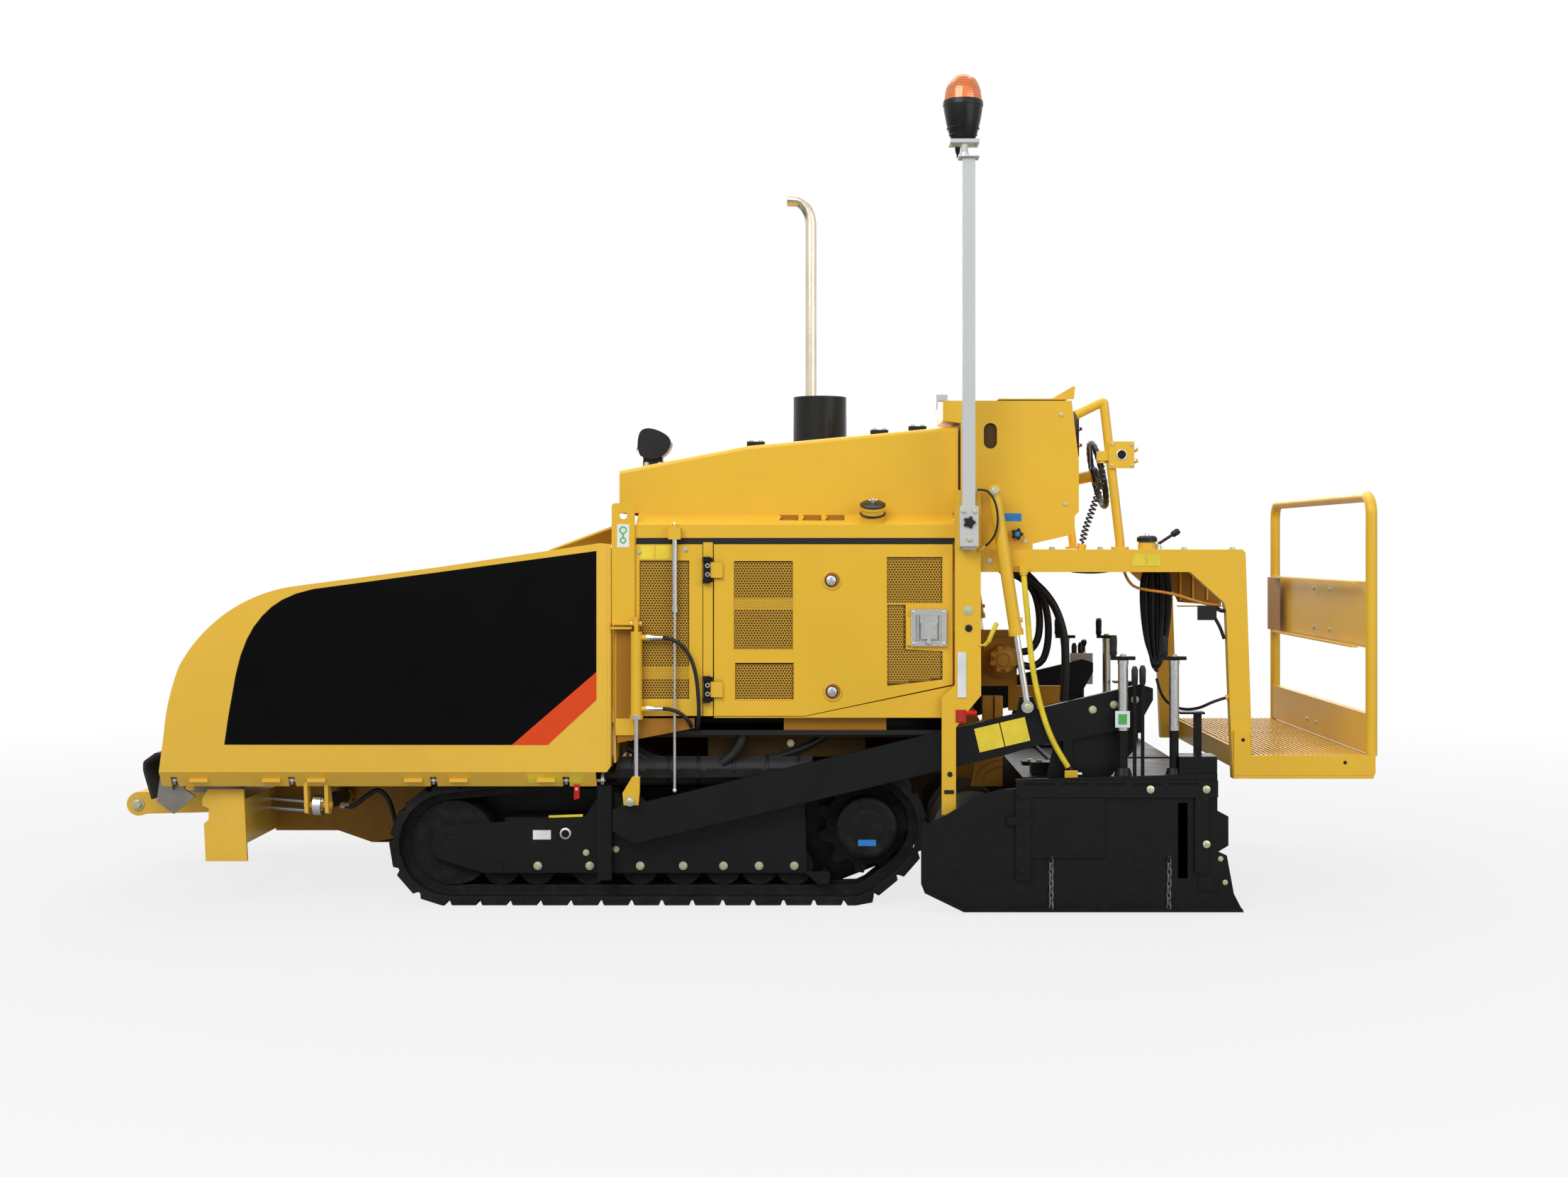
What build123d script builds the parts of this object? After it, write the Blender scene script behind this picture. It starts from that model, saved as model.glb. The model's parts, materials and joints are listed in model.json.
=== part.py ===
from build123d import *
import math
import os

# Compact tracked asphalt paver with its hopper at the front and its screed at the back.
# Millimetres. The front is -X, the machine's left side is -Y, +Z is up and the ground is Z 0.
# Pieces that come in pairs are drawn for the left side and mirrored to the right one.

# Crawler tracks
SHOE_PITCH = 101.6
SHOE_HEIGHT = 17.0
SHOE_LENGTH = 88.0
SHOE_FOOT = 96.0
BELT_THICKNESS = 12.0
LINK_HEIGHT = 30.0
LINK_WIDTH = 24.0
LINK_SPREAD = 45.0
TRACK_OUTER_Y = 655.0
TRACK_WIDTH = 230.0
IDLER_X = -946.0
IDLER_RADIUS = 202.0
CARRIER_X = -420.0
CARRIER_Z = 352.0
CARRIER_RADIUS = 100.0
SPROCKET_X = 444.0
SPROCKET_Z = 258.0
SPROCKET_RADIUS = 200.0
REAR_ROLLER_X = 400.0
ROLLER_XS = [-786.0, -664.0, -486.0, -318.0, -173.0, -38.0, 82.0, 200.0]
SMALL_ROLLER_X = 301.0
SMALL_ROLLER_Z = 82.0
ROLLER_AXLE_Z = 122.0
WHEEL_GAP = 0.3
SPROCKET_TEETH = 11
TRACK_FRAME_PLATE = 10.0
TRACK_FRAME_INSET = 22.0
GUIDE_X = -454.0
GUIDE_OUTER_Y = 674.0

# Main frame between the tracks
FRAME_HALF = 262.0
FRAME_PLATE = 12.0
FRAME_FRONT_X = -1641.0
FRAME_REAR_X = 700.0
FRAME_BOTTOM_Z = 192.0
FRAME_HOPPER_Z = 366.0
ENGINE_DECK_Z = 560.0
ENGINE_DECK_PLATE = 12.0
ENGINE_DECK_REAR_X = 740.0

# Front beam and push rollers
BEAM_FRONT_X = -1779.0
BEAM_HALF = 640.0
BEAM_BOTTOM_Z = 145.0
BEAM_TOP_Z = 386.0
ROLLER_BAR_X = -2100.0
ROLLER_BAR_Z = 296.0
PUSH_ROLLER_RADIUS = 42.0
PUSH_ROLLER_INNER_Y = 60.0
PUSH_ROLLER_OUTER_Y = 330.0
ARM_PLATE = 12.0

# Hopper
HOPPER_FRONT_X = -1880.0
HOPPER_REAR_X = -420.0
HOPPER_TROUGH_HALF = 240.0
HOPPER_TROUGH_Z = 372.0
HOPPER_FLOOR_Z = 470.0
HOPPER_FLOOR_HALF = 668.0
HOPPER_SLOPE_END_Y = 425.0
FLOOR_PLATE = 8.0
HOPPER_CORNER_Y = 640.0
HINGE_Y = 682.0
HINGE_Z = 420.0
HINGE_ROD_RADIUS = 6.0
HINGE_KNUCKLE_RADIUS = 10.0
HINGE_FIT = 0.06
WING_OUTER_Y = 715.0
WING_PLATE = 8.0
WING_REAR_X = -404.0
WING_FRONT_X = -1903.0
WING_LOW_Z = 452.0
WING_STRIP_Z = 401.0
WING_TOP_Z = 1209.0
WING_PIN_X = -1387.0
WING_PIN_Y = 652.0
WING_PIN_Z = 335.0
WING_PIN_RADIUS = 11.0
WING_PIN_PLAY = 12.0
WING_BASE_Y = 300.0
WING_BASE_Z = 320.0
WING_EYE_RADIUS = 34.0
WING_EYE_HALF = 13.0
BULKHEAD_X = -398.0
BULKHEAD_PLATE = 8.0
BULKHEAD_TOP_Z = 1262.0

# Body over the engine
BODY_HALF = 700.0
BODY_FRONT_X = -323.0
BODY_REAR_X = 733.0
BODY_BOTTOM_Z = 636.0
DOOR_TOP_Z = 1205.0
RAIL_BOTTOM_Z = 1212.0
RAIL_TOP_Z = 1310.0
RAIL_FACE_Z = 1270.0
RAIL_INNER_GAP = 14.0
BODY_PLATE = 6.0
VENT_X = 150.0
VENT_PITCH = 77.0
VENT_COUNT = 3
FILLER_X = 463.0
FILLER_RADIUS = 38.0
FILLER_LEAN = 20.0
DOOR_FRONT_X = -65.0
DOOR_REAR_X = 727.0
DOOR_THICKNESS = 28.0
COLUMN_DEPTH = 40.0
DOOR_SLOPE_X = 236.0
DOOR_REAR_BOTTOM_Z = 740.0
DOOR_HINGE_X = -84.0
DOOR_HINGE_Y = BODY_HALF + 12.0
ENGINE_DECK_HALF = BODY_HALF - DOOR_THICKNESS - 32.0
HOOD_HALF = 600.0
HOOD_FRONT_X = -388.0
HOOD_REAR_X = 752.0
HOOD_FRONT_Z = 1454.0
HOOD_REAR_Z = 1604.0
HOOD_KNEE_X = 37.0
HOOD_KNEE_Z = 1536.0
WORK_LIGHT_X = -280.0
WORK_LIGHT_Y = 450.0
HOOD_PLATE = 6.0
HOOD_BEND = 14.0
POST_OUTER_Y = BODY_HALF + 25.0
POST_PLATE = 12.0
LIFTING_PLATE = 12.0
LIFTING_HOLE_X = -364.0
LIFTING_HOLE_Z = 1301.0
LIFTING_HOLE_RADIUS = 13.0

# Operator's deck, console and rear platform
DECK_FRONT_X = 820.0
DECK_REAR_X = 1700.0
DECK_TOP_Z = 1188.0
DECK_BEAM_Z = 1113.0
DECK_HALF = 690.0
DECK_PLATE = 8.0
DECK_NECK_HALF = 560.0
DECK_LEG_X = 1657.0
LEG_PLATE = 40.0
PLATFORM_FRONT_X = 1722.0
PLATFORM_REAR_X = 2123.0
PLATFORM_BOTTOM_Z = 428.0
PLATFORM_TOP_Z = 502.0
PLATFORM_HALF = DECK_HALF + 10.0
PLATFORM_PLATE = 8.0
GRATING_PITCH = 40.0
GRATING_BAR = 5.0
RAIL_TUBE_RADIUS = 19.0
RAIL_GUARD_TOP_Z = 1385.0
RAIL_PANEL_LOW_Z = 860.0
RAIL_PANEL_HIGH_Z = 1080.0
RAIL_BOARD_Z = 640.0
CONSOLE_OUTER_Y = 620.0
CONSOLE_INNER_Y = 290.0
CONSOLE_FRONT_X = 760.0
CONSOLE_REAR_X = 1156.0
CONSOLE_TOP_Z = 1687.0
HANDRAIL_RADIUS = 15.5
WHEEL_X = 1251.0
WHEEL_Y = 400.0
WHEEL_Z = 1447.0
WHEEL_RADIUS = 111.0
WHEEL_RIM = 11.0
WHEEL_TILT = 12.4

# Beacon mast and exhaust
MAST_SIDE = 42.0
MAST_X = 775.0
MAST_Y = POST_OUTER_Y + 27.0
BEACON_X = 760.0
BEACON_Y = MAST_Y - 36.0
BEACON_BASE_Z = 2534.0
BEACON_SEAM_Z = 2669.0
BEACON_TOP_Z = 2764.0
BEACON_RADIUS = 68.0
MAST_BOTTOM_Z = 1188.0
MAST_TOP_Z = 2473.0
EXHAUST_X = 254.0
EXHAUST_RADIUS = 22.0
EXHAUST_TOP_Z = 2471.0
SHROUD_X = 287.0
SHROUD_RADIUS = 98.0
SHROUD_TOP_Z = 1745.0

# Screed and its arms
TOW_X = -338.0
TOW_Z = 367.0
TOW_PIN_RADIUS = 14.0
TOW_PIN_Z = 359.0
ARM_INNER_Y = 680.0
ARM_OUTER_Y = 705.0
ARM_DEPTH = 128.0
ARM_SLOPE = 0.2377
ARM_REAR_X = 1390.0
ARM_LINE_X = 21.0
ARM_LINE_Z = 426.0
SCREED_FRONT_X = 962.0
SCREED_SPLIT_X = 1262.0
SCREED_REAR_X = 1580.0
SCREED_HALF = 672.0
SCREED_SOLE = 12.0
SCREED_TOP_Z = 430.0
SCREED_ROD_X = 1420.0
SCREED_ROD_RADIUS = 22.0
EXTENSION_TOP_Z = 420.0
GATE_OUTER_Y = 783.0
CONTROL_X = 1350.0
CONTROL_LOW_Z = 642.0
GATE_PLATE = 12.0
GATE_RIB = 12.0
AUGER_X = 800.0
AUGER_Z = 232.0
AUGER_RADIUS = 132.0
AUGER_SHAFT = 28.0
AUGER_INNER_Y = 58.3
AUGER_OUTER_Y = 640.0
AUGER_PITCH = 190.0
AUGER_END = 30.0
AUGER_FLIGHT = 10.0

# Cylinders of the screed lift and of the tow points
LIFT_TOP_X = 862.0
LIFT_TOP_Z = 1381.0
LIFT_EYE_X = 971.0
LIFT_EYE_Z = 669.0
LIFT_Y = POST_OUTER_Y + 1.0
LIFT_BARREL_RADIUS = 21.0
LIFT_ROD_RADIUS = 11.0
LIFT_BARREL_LENGTH = 470.0
TOW_CYL_Y = ARM_OUTER_Y + 17.0
TOW_CYL_X = -319.0
TOW_CYL_BOTTOM_Z = 628.0
TOW_CYL_TOP_Z = 917.0
TOW_CYL_RADIUS = 19.0
INDICATOR_X = -193.0
INDICATOR_SLEEVE_Z = 984.0
INDICATOR_BALL_Z = 392.0
LIFT_PIN_RADIUS = 9.0
LIFT_EYE_PIN_RADIUS = 9.0
LIFT_PIN_PLAY = 3.0

# Cables and hoses, each with its radius and the points of its route
HANK_X = 1446.0
HANK_Y = 450.0
HANK_TOP_Z = 1156.0
HANK_BOTTOM_Z = 768.0
HANK_HALF = 48.0
HANK_RADIUS = 18.0
HANK_HOOK_RADIUS = 5.0
LEAD_RADIUS = 5.0
LEAD_ROUTE = [(1638, -668, 694), (1600, -660, 682), (1556, -640, 656), (1508, -600, 648), (1472, -548, 662),
              (1452, -494, 694), (1446, -456, 742)]
CURLY_RADIUS = 13.0
CURLY_ROUTE = [(1236, -600, 1478), (1236, -601, 1434), (1226, -604, 1386), (1210, -608, 1340), (1192, -610, 1292),
               (1176, -611, 1248), (1168, -611, 1206)]
SLEEVE_RADIUS = 10.5
SLEEVE_ROUTE = [(960, -722, 1104), (965, -722, 1040), (973, -722, 966), (979, -722, 882), (990, -722, 790),
                (1007, -722, 704), (1031, -722, 616), (1064, -722, 536), (1106, -722, 470)]
HYDRAULIC_RADIUS = 8.5
HYDRAULIC_YS = [-388.0, -424.0]
HYDRAULIC_ROUTE = [(838, 1136), (892, 1132), (968, 1112), (1042, 1068), (1098, 1000), (1130, 916), (1140, 826),
                   (1137, 738), (1132, 656)]
MAST_CABLE_RADIUS = 3.5
MAST_GLAND_RADIUS = 6.0
MAST_CABLE_ROUTE = [(804, -752, 1384), (826, -755, 1386), (850, -758, 1370), (866, -759, 1334), (872, -758, 1292),
                    (868, -754, 1250), (852, -748, 1216), (832, -740, 1200)]


def box(x0, x1, y0, y1, z0, z1):
    return Pos((x0 + x1) / 2, (y0 + y1) / 2, (z0 + z1) / 2) * Box(abs(x1 - x0), abs(y1 - y0), abs(z1 - z0))


def rod_x(y, z, radius, x0, x1):
    return Pos((x0 + x1) / 2, y, z) * Rot(0, 90, 0) * Cylinder(radius, abs(x1 - x0))


def rod_y(x, z, radius, y0, y1):
    return Pos(x, (y0 + y1) / 2, z) * Rot(90, 0, 0) * Cylinder(radius, abs(y1 - y0))


def rod_z(x, y, radius, z0, z1):
    return Pos(x, y, (z0 + z1) / 2) * Cylinder(radius, abs(z1 - z0))


def rod_between(start, end, radius):
    start = Vector(*start)
    end = Vector(*end)
    run = end - start
    return extrude(Plane(origin=start, z_dir=run) * Circle(radius), run.length)


def plate_y(points, y0, y1, radius=0.0):
    # flat plate with an outline in the XZ plane, y0 below y1
    if radius:
        outline = FilletPolyline(*[(x, y0, z) for x, z in points], radius=radius, close=True)
    else:
        outline = Polyline(*[(x, y0, z) for x, z in points], close=True)
    return extrude(make_face(outline), y1 - y0, dir=(0, 1, 0))


def plate_x(points, x0, x1):
    # flat plate with an outline in the YZ plane, x0 below x1
    outline = Polyline(*[(x0, y, z) for y, z in points], close=True)
    return extrude(make_face(outline), x1 - x0, dir=(1, 0, 0))


def tube(points, bend, radius):
    path = FilletPolyline(*points, radius=bend)
    return sweep(Plane(origin=path @ 0, z_dir=path % 0) * Circle(radius), path=path)


def cord(name, points, radius):
    # a tube of straight runs with an arc at each corner that is as large as its two runs allow
    runs = [Vector(*b) - Vector(*a) for a, b in zip(points, points[1:])]
    radii = []
    for before, after in zip(runs, runs[1:]):
        turn = math.radians(before.get_angle(after))
        radii.append(0.45 * min(before.length, after.length) / math.tan(turn / 2))
    path = FilletPolyline(*points, radius=radii)
    print(name, "length", round(path.length), "radii", [round(bend) for bend in radii])
    return sweep(Plane(origin=path @ 0, z_dir=path % 0) * Circle(radius), path=path)


def gland(point, beside, radius, length):
    # collar in line with a cord's end run, on from its end point
    way = (Vector(*point) - Vector(*beside)).normalized()
    return rod_between(point, Vector(*point) + way * length, radius)


def other_side(shape):
    return mirror(shape, about=Plane.XZ)


def both(shape):
    return shape + other_side(shape)


def save(name, shape):
    export_step(shape, os.path.join("parts", name + ".step"))


# Tracks


def track_circles(inset):
    # idler, rear ground roller, sprocket and carrier in turn, anticlockwise with X right and Z up
    ground = ROLLER_AXLE_Z - inset
    return [(IDLER_X, IDLER_RADIUS, IDLER_RADIUS - inset), (REAR_ROLLER_X, ROLLER_AXLE_Z, ground),
            (SPROCKET_X, SPROCKET_Z, SPROCKET_RADIUS - inset), (CARRIER_X, CARRIER_Z, CARRIER_RADIUS - inset)]


def track_path(inset):
    # straight runs and arcs of the loop, each as its length and a function of the way along it
    circles = track_circles(inset)
    normals = []
    for (x1, z1, r1), (x2, z2, r2) in zip(circles, circles[1:] + circles[:1]):
        span = math.hypot(x2 - x1, z2 - z1)
        along = ((x2 - x1) / span, (z2 - z1) / span)
        lean = (r1 - r2) / span
        level = math.sqrt(1 - lean * lean)
        normals.append((along[0] * lean + along[1] * level, along[1] * lean - along[0] * level))
    pieces = []
    for index, (x1, z1, r1) in enumerate(circles):
        x2, z2, r2 = circles[(index + 1) % len(circles)]
        before = normals[index - 1]
        after = normals[index]
        first = math.atan2(before[1], before[0])
        turn = (math.atan2(after[1], after[0]) - first) % (2 * math.pi)
        pieces.append((turn * r1, "arc", (x1, z1, r1, first)))
        start = (x1 + r1 * after[0], z1 + r1 * after[1])
        end = (x2 + r2 * after[0], z2 + r2 * after[1])
        pieces.append((math.dist(start, end), "line", (start, end, after)))
    return pieces


def track_point(pieces, distance):
    # place and outward normal at a distance along the loop
    total = sum(piece[0] for piece in pieces)
    distance = distance % total
    for length, kind, data in pieces:
        if distance <= length:
            if kind == "arc":
                x, z, radius, first = data
                angle = first + distance / radius
                normal = (math.cos(angle), math.sin(angle))
                return (x + radius * normal[0], z + radius * normal[1]), normal
            start, end, normal = data
            share = distance / length
            return (start[0] + (end[0] - start[0]) * share, start[1] + (end[1] - start[1]) * share), normal
        distance -= length
    return pieces[-1][2][1], pieces[-1][2][2]


def shoe_point(pieces, distance, along, out):
    (x, z), (nx, nz) = track_point(pieces, distance)
    return (x - nz * along + nx * out, z + nx * along + nz * out)


def track():
    pieces = track_path(SHOE_HEIGHT)
    total = sum(piece[0] for piece in pieces)
    count = round(total / SHOE_PITCH)
    pitch = total / count
    foot = SHOE_FOOT / SHOE_PITCH * pitch / 2
    tread = []
    belt = []
    link = []
    for index in range(count):
        at = index * pitch
        tread.append(shoe_point(pieces, at, -foot, 0))
        tread.append(shoe_point(pieces, at, -SHOE_LENGTH / 2 + 3, SHOE_HEIGHT))
        tread.append(shoe_point(pieces, at, SHOE_LENGTH / 2 - 3, SHOE_HEIGHT))
        tread.append(shoe_point(pieces, at, foot, 0))
        belt.append(shoe_point(pieces, at - pitch / 2, 0, -BELT_THICKNESS))
        belt.append(shoe_point(pieces, at, 0, -BELT_THICKNESS))
        link.append(shoe_point(pieces, at - pitch / 2, 0, -BELT_THICKNESS - LINK_HEIGHT))
        link.append(shoe_point(pieces, at, 0, -BELT_THICKNESS - LINK_HEIGHT))
    low = -TRACK_OUTER_Y
    high = low + TRACK_WIDTH
    middle = low + TRACK_WIDTH / 2
    loop = plate_y(tread, low, high) - plate_y(belt, low, high)
    for side in (-1, 1):
        centre = middle + side * LINK_SPREAD
        rail = plate_y(belt, centre - LINK_WIDTH / 2, centre + LINK_WIDTH / 2)
        loop += rail - plate_y(link, centre - LINK_WIDTH / 2, centre + LINK_WIDTH / 2)
    return loop


TRACK_MIDDLE_Y = -TRACK_OUTER_Y + TRACK_WIDTH / 2


def track_wheel(x, z, radius, half, axle, axle_half):
    wheel = rod_y(x, z, radius, TRACK_MIDDLE_Y - half, TRACK_MIDDLE_Y + half)
    return wheel + rod_y(x, z, axle, TRACK_MIDDLE_Y - axle_half, TRACK_MIDDLE_Y + axle_half)


def chain_distance(x, z):
    # from an axle to the nearest stretch of the chain's inner line
    pieces = track_path(SHOE_HEIGHT)
    total = sum(piece[0] for piece in pieces)
    count = round(total / SHOE_PITCH)
    step = total / count / 2
    line = [shoe_point(pieces, index * step, 0, -BELT_THICKNESS - LINK_HEIGHT) for index in range(2 * count)]
    nearest = math.inf
    for (x1, z1), (x2, z2) in zip(line, line[1:] + line[:1]):
        dx = x2 - x1
        dz = z2 - z1
        share = max(0, min(1, ((x - x1) * dx + (z - z1) * dz) / (dx * dx + dz * dz)))
        nearest = min(nearest, math.hypot(x1 + share * dx - x, z1 + share * dz - z))
    return nearest


def track_rollers():
    # idler, carrier roller and ground rollers, all just inside the chain, with axles out to the frame plates
    reach = TRACK_WIDTH / 2 - TRACK_FRAME_INSET - 2
    wheels = None
    places = [(IDLER_X, IDLER_RADIUS, 62, 30), (CARRIER_X, CARRIER_Z, 58, 14)]
    places += [(x, ROLLER_AXLE_Z, 58, 14) for x in ROLLER_XS]
    places.append((SMALL_ROLLER_X, SMALL_ROLLER_Z, 58, 10))
    for x, z, half, axle in places:
        wheel = track_wheel(x, z, chain_distance(x, z) - WHEEL_GAP, half, axle, reach)
        wheels = wheel if wheels is None else wheels + wheel
    return wheels


def track_frame():
    # beam over the ground rollers with a skirt plate on each side that holds their axles
    outer = TRACK_MIDDLE_Y - TRACK_WIDTH / 2 + TRACK_FRAME_INSET
    inner = TRACK_MIDDLE_Y + TRACK_WIDTH / 2 - TRACK_FRAME_INSET
    skirt = [(-1010, 232), (-985, 262), (-500, 293), (-450, 372), (-390, 372), (-370, 333), (236, 341), (243, 110),
             (318, 108), (318, 66), (280, 66), (240, 105), (-840, 105), (-985, 150), (-1010, 172)]
    plates = None
    for y0, y1 in ((outer, outer + TRACK_FRAME_PLATE), (inner - TRACK_FRAME_PLATE, inner)):
        plate = plate_y(skirt, y0, y1)
        plates = plate if plates is None else plates + plate
    for x in ROLLER_XS:
        plates -= rod_y(x, ROLLER_AXLE_Z, 14 + WHEEL_GAP, outer - 5, inner + 5)
    for x, z, axle in ((SMALL_ROLLER_X, SMALL_ROLLER_Z, 10), (IDLER_X, IDLER_RADIUS, 30), (CARRIER_X, CARRIER_Z, 14)):
        plates -= rod_y(x, z, axle + WHEEL_GAP, outer - 5, inner + 5)
    beam = box(-770, 240, outer + TRACK_FRAME_PLATE, inner - TRACK_FRAME_PLATE, 196, 288)
    guide = box(GUIDE_X, GUIDE_X + 48, -GUIDE_OUTER_Y, -GUIDE_OUTER_Y + 14, 87, 403)
    guide += box(GUIDE_X + 8, GUIDE_X + 40, -GUIDE_OUTER_Y + 14, outer, 150, 282)
    return plates + beam + guide


def final_drive():
    # toothed sprocket disc, the hub outside it and the drive housing in to the frame
    half_tooth = math.pi / SPROCKET_TEETH
    reach = SPROCKET_RADIUS - SHOE_HEIGHT - BELT_THICKNESS - 4
    valley = reach - 30
    points = []
    for tooth in range(SPROCKET_TEETH):
        base = 2 * half_tooth * tooth
        for share, radius in ((-0.62, valley), (-0.3, reach), (0.3, reach), (0.62, valley)):
            angle = base + share * half_tooth
            points.append((SPROCKET_X + radius * math.cos(angle), SPROCKET_Z + radius * math.sin(angle)))
    disc = plate_y(points, TRACK_MIDDLE_Y - 14, TRACK_MIDDLE_Y + 14)
    hub = rod_y(SPROCKET_X, SPROCKET_Z, 100, -TRACK_OUTER_Y + 8, TRACK_MIDDLE_Y - 14)
    housing = rod_y(SPROCKET_X, SPROCKET_Z, 84, TRACK_MIDDLE_Y + 14, -FRAME_HALF)
    return disc + hub + housing


# Main frame, front beam and hopper


def main_frame():
    notch_x = AUGER_X - AUGER_RADIUS - 14
    notch_z = AUGER_Z + AUGER_RADIUS + 14
    profile = [(FRAME_FRONT_X, FRAME_BOTTOM_Z), (-1420, FRAME_BOTTOM_Z), (-1300, 150), (560, 150),
               (notch_x, 190), (notch_x, notch_z - 30), (FRAME_REAR_X, notch_z), (FRAME_REAR_X, ENGINE_DECK_Z),
               (-380, ENGINE_DECK_Z), (-380, FRAME_HOPPER_Z), (FRAME_FRONT_X, FRAME_HOPPER_Z)]
    plate = plate_y(profile, -FRAME_HALF, -FRAME_HALF + FRAME_PLATE)
    frame = both(plate)
    inside = FRAME_HALF - FRAME_PLATE
    frame += box(-1520, 555, -inside, inside, 262, 270)
    for x, z in ((-1500, FRAME_BOTTOM_Z + 8), (-900, 160), (-300, 160), (300, 160)):
        frame += box(x, x + 60, -inside, inside, z, z + 20)
    deck = box(-390, ENGINE_DECK_REAR_X, -ENGINE_DECK_HALF, ENGINE_DECK_HALF, ENGINE_DECK_Z, ENGINE_DECK_Z + ENGINE_DECK_PLATE)
    frame += deck
    for x in (-560, 60):
        arm = box(x, x + 120, -TRACK_OUTER_Y + TRACK_WIDTH - 22, -FRAME_HALF, 196, 288)
        frame += both(arm)
    return frame


def front_beam():
    end = [(BEAM_FRONT_X, 355), (-1760, BEAM_TOP_Z), (FRAME_FRONT_X, BEAM_TOP_Z), (-1629, BEAM_BOTTOM_Z),
           (-1768, BEAM_BOTTOM_Z), (-1774, 270), (-1758, 285), (-1758, 322), (BEAM_FRONT_X, 330)]
    cheek = plate_y(end, -BEAM_HALF, -BEAM_HALF + ARM_PLATE)
    beam = both(cheek)
    inside = BEAM_HALF - ARM_PLATE
    beam += box(-1762, FRAME_FRONT_X, -inside, inside, 200, 350) - box(-1752, -1651, -inside, inside, 210, 340)
    arm = [(-2105, 254), (-2070, 262), (-1762, 270), (-1762, 345), (-2060, 338), (-2105, 338)]
    for y in (PUSH_ROLLER_INNER_Y - 14, PUSH_ROLLER_OUTER_Y + 2):
        plate = plate_y(arm, -y - ARM_PLATE, -y) + rod_y(ROLLER_BAR_X, ROLLER_BAR_Z, 40, -y - ARM_PLATE, -y)
        beam += both(plate)
    axle = rod_y(ROLLER_BAR_X, ROLLER_BAR_Z, 14, -PUSH_ROLLER_OUTER_Y - 14, -PUSH_ROLLER_INNER_Y + 14)
    beam += both(axle)
    return beam


def push_roller():
    low = -PUSH_ROLLER_OUTER_Y + 0.5
    high = -PUSH_ROLLER_INNER_Y - 0.5
    roller = rod_y(ROLLER_BAR_X, ROLLER_BAR_Z, PUSH_ROLLER_RADIUS, low, high)
    return roller - rod_y(ROLLER_BAR_X, ROLLER_BAR_Z, 14 + HINGE_FIT, low - 1, high + 1)


def hopper_floor():
    # trough over the conveyor, flanks that rise over the tracks and an edge that carries the wing hinges
    trough = HOPPER_TROUGH_HALF
    top = [(-HOPPER_FLOOR_HALF, HOPPER_FLOOR_Z + FLOOR_PLATE), (-HOPPER_SLOPE_END_Y, HOPPER_FLOOR_Z + FLOOR_PLATE),
           (-trough, HOPPER_TROUGH_Z + FLOOR_PLATE)]
    under = [(-trough, HOPPER_TROUGH_Z), (-HOPPER_SLOPE_END_Y, HOPPER_FLOOR_Z), (-HOPPER_FLOOR_HALF, HOPPER_FLOOR_Z)]
    flank = plate_x(top + under, HOPPER_FRONT_X, HOPPER_REAR_X)
    edge_y = HOPPER_FLOOR_HALF
    edge = box(HOPPER_FRONT_X, HOPPER_REAR_X, -edge_y, -edge_y + 6, 466, HOPPER_FLOOR_Z + FLOOR_PLATE)
    flank += edge
    for x in hinge_lugs():
        lug = plate_x([(-edge_y + 6, 478), (-edge_y, 478), (-edge_y - 24, 420), (-edge_y - 22, 408),
                       (-edge_y - 6, 408), (-edge_y + 6, 466)], x, x + 10)
        flank += lug
    rod = rod_x(-HINGE_Y, HINGE_Z, HINGE_ROD_RADIUS, hinge_lugs()[0] - 4, hinge_lugs()[-1] + 14)
    floor = both(flank + rod)
    floor += box(HOPPER_FRONT_X, HOPPER_FRONT_X + 8, -HOPPER_FLOOR_HALF + 6, HOPPER_FLOOR_HALF - 6, 386, 500)
    for y in (-440, -120, 120, 440):
        floor += box(-1872, FRAME_FRONT_X - 60, y - 5, y + 5, BEAM_TOP_Z - 36, 392)
    corner = [(-1920, 431), (-1855, 429), (-1837, 385), (-1804, 362), (-1875, 303), (-1932, 344)]
    floor += both(plate_y(corner, -HOPPER_CORNER_Y, -HOPPER_CORNER_Y + FLOOR_PLATE))
    return floor


def hinge_lugs():
    return [-1860.0, -1470.0, -1000.0, -560.0, -440.0]


def wing_outline(y):
    # straight foot, rear edge and top, then the nose as two arcs
    straight = [(-1883, 574), (WING_FRONT_X + 4, WING_LOW_Z), (-418, WING_LOW_Z), (WING_REAR_X, WING_LOW_Z + 20),
                (WING_REAR_X, WING_TOP_Z - 4), (-441, WING_TOP_Z), (-971, 1130), (-1189, 1101), (-1448, 1067)]
    edges = Polyline(*[(x, y, z) for x, z in straight])
    edges += ThreePointArc((-1448, y, 1067), (-1690, y, 968), (-1833, y, 800))
    edges += ThreePointArc((-1833, y, 800), (-1866, y, 690), (-1883, y, 574))
    return edges


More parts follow.
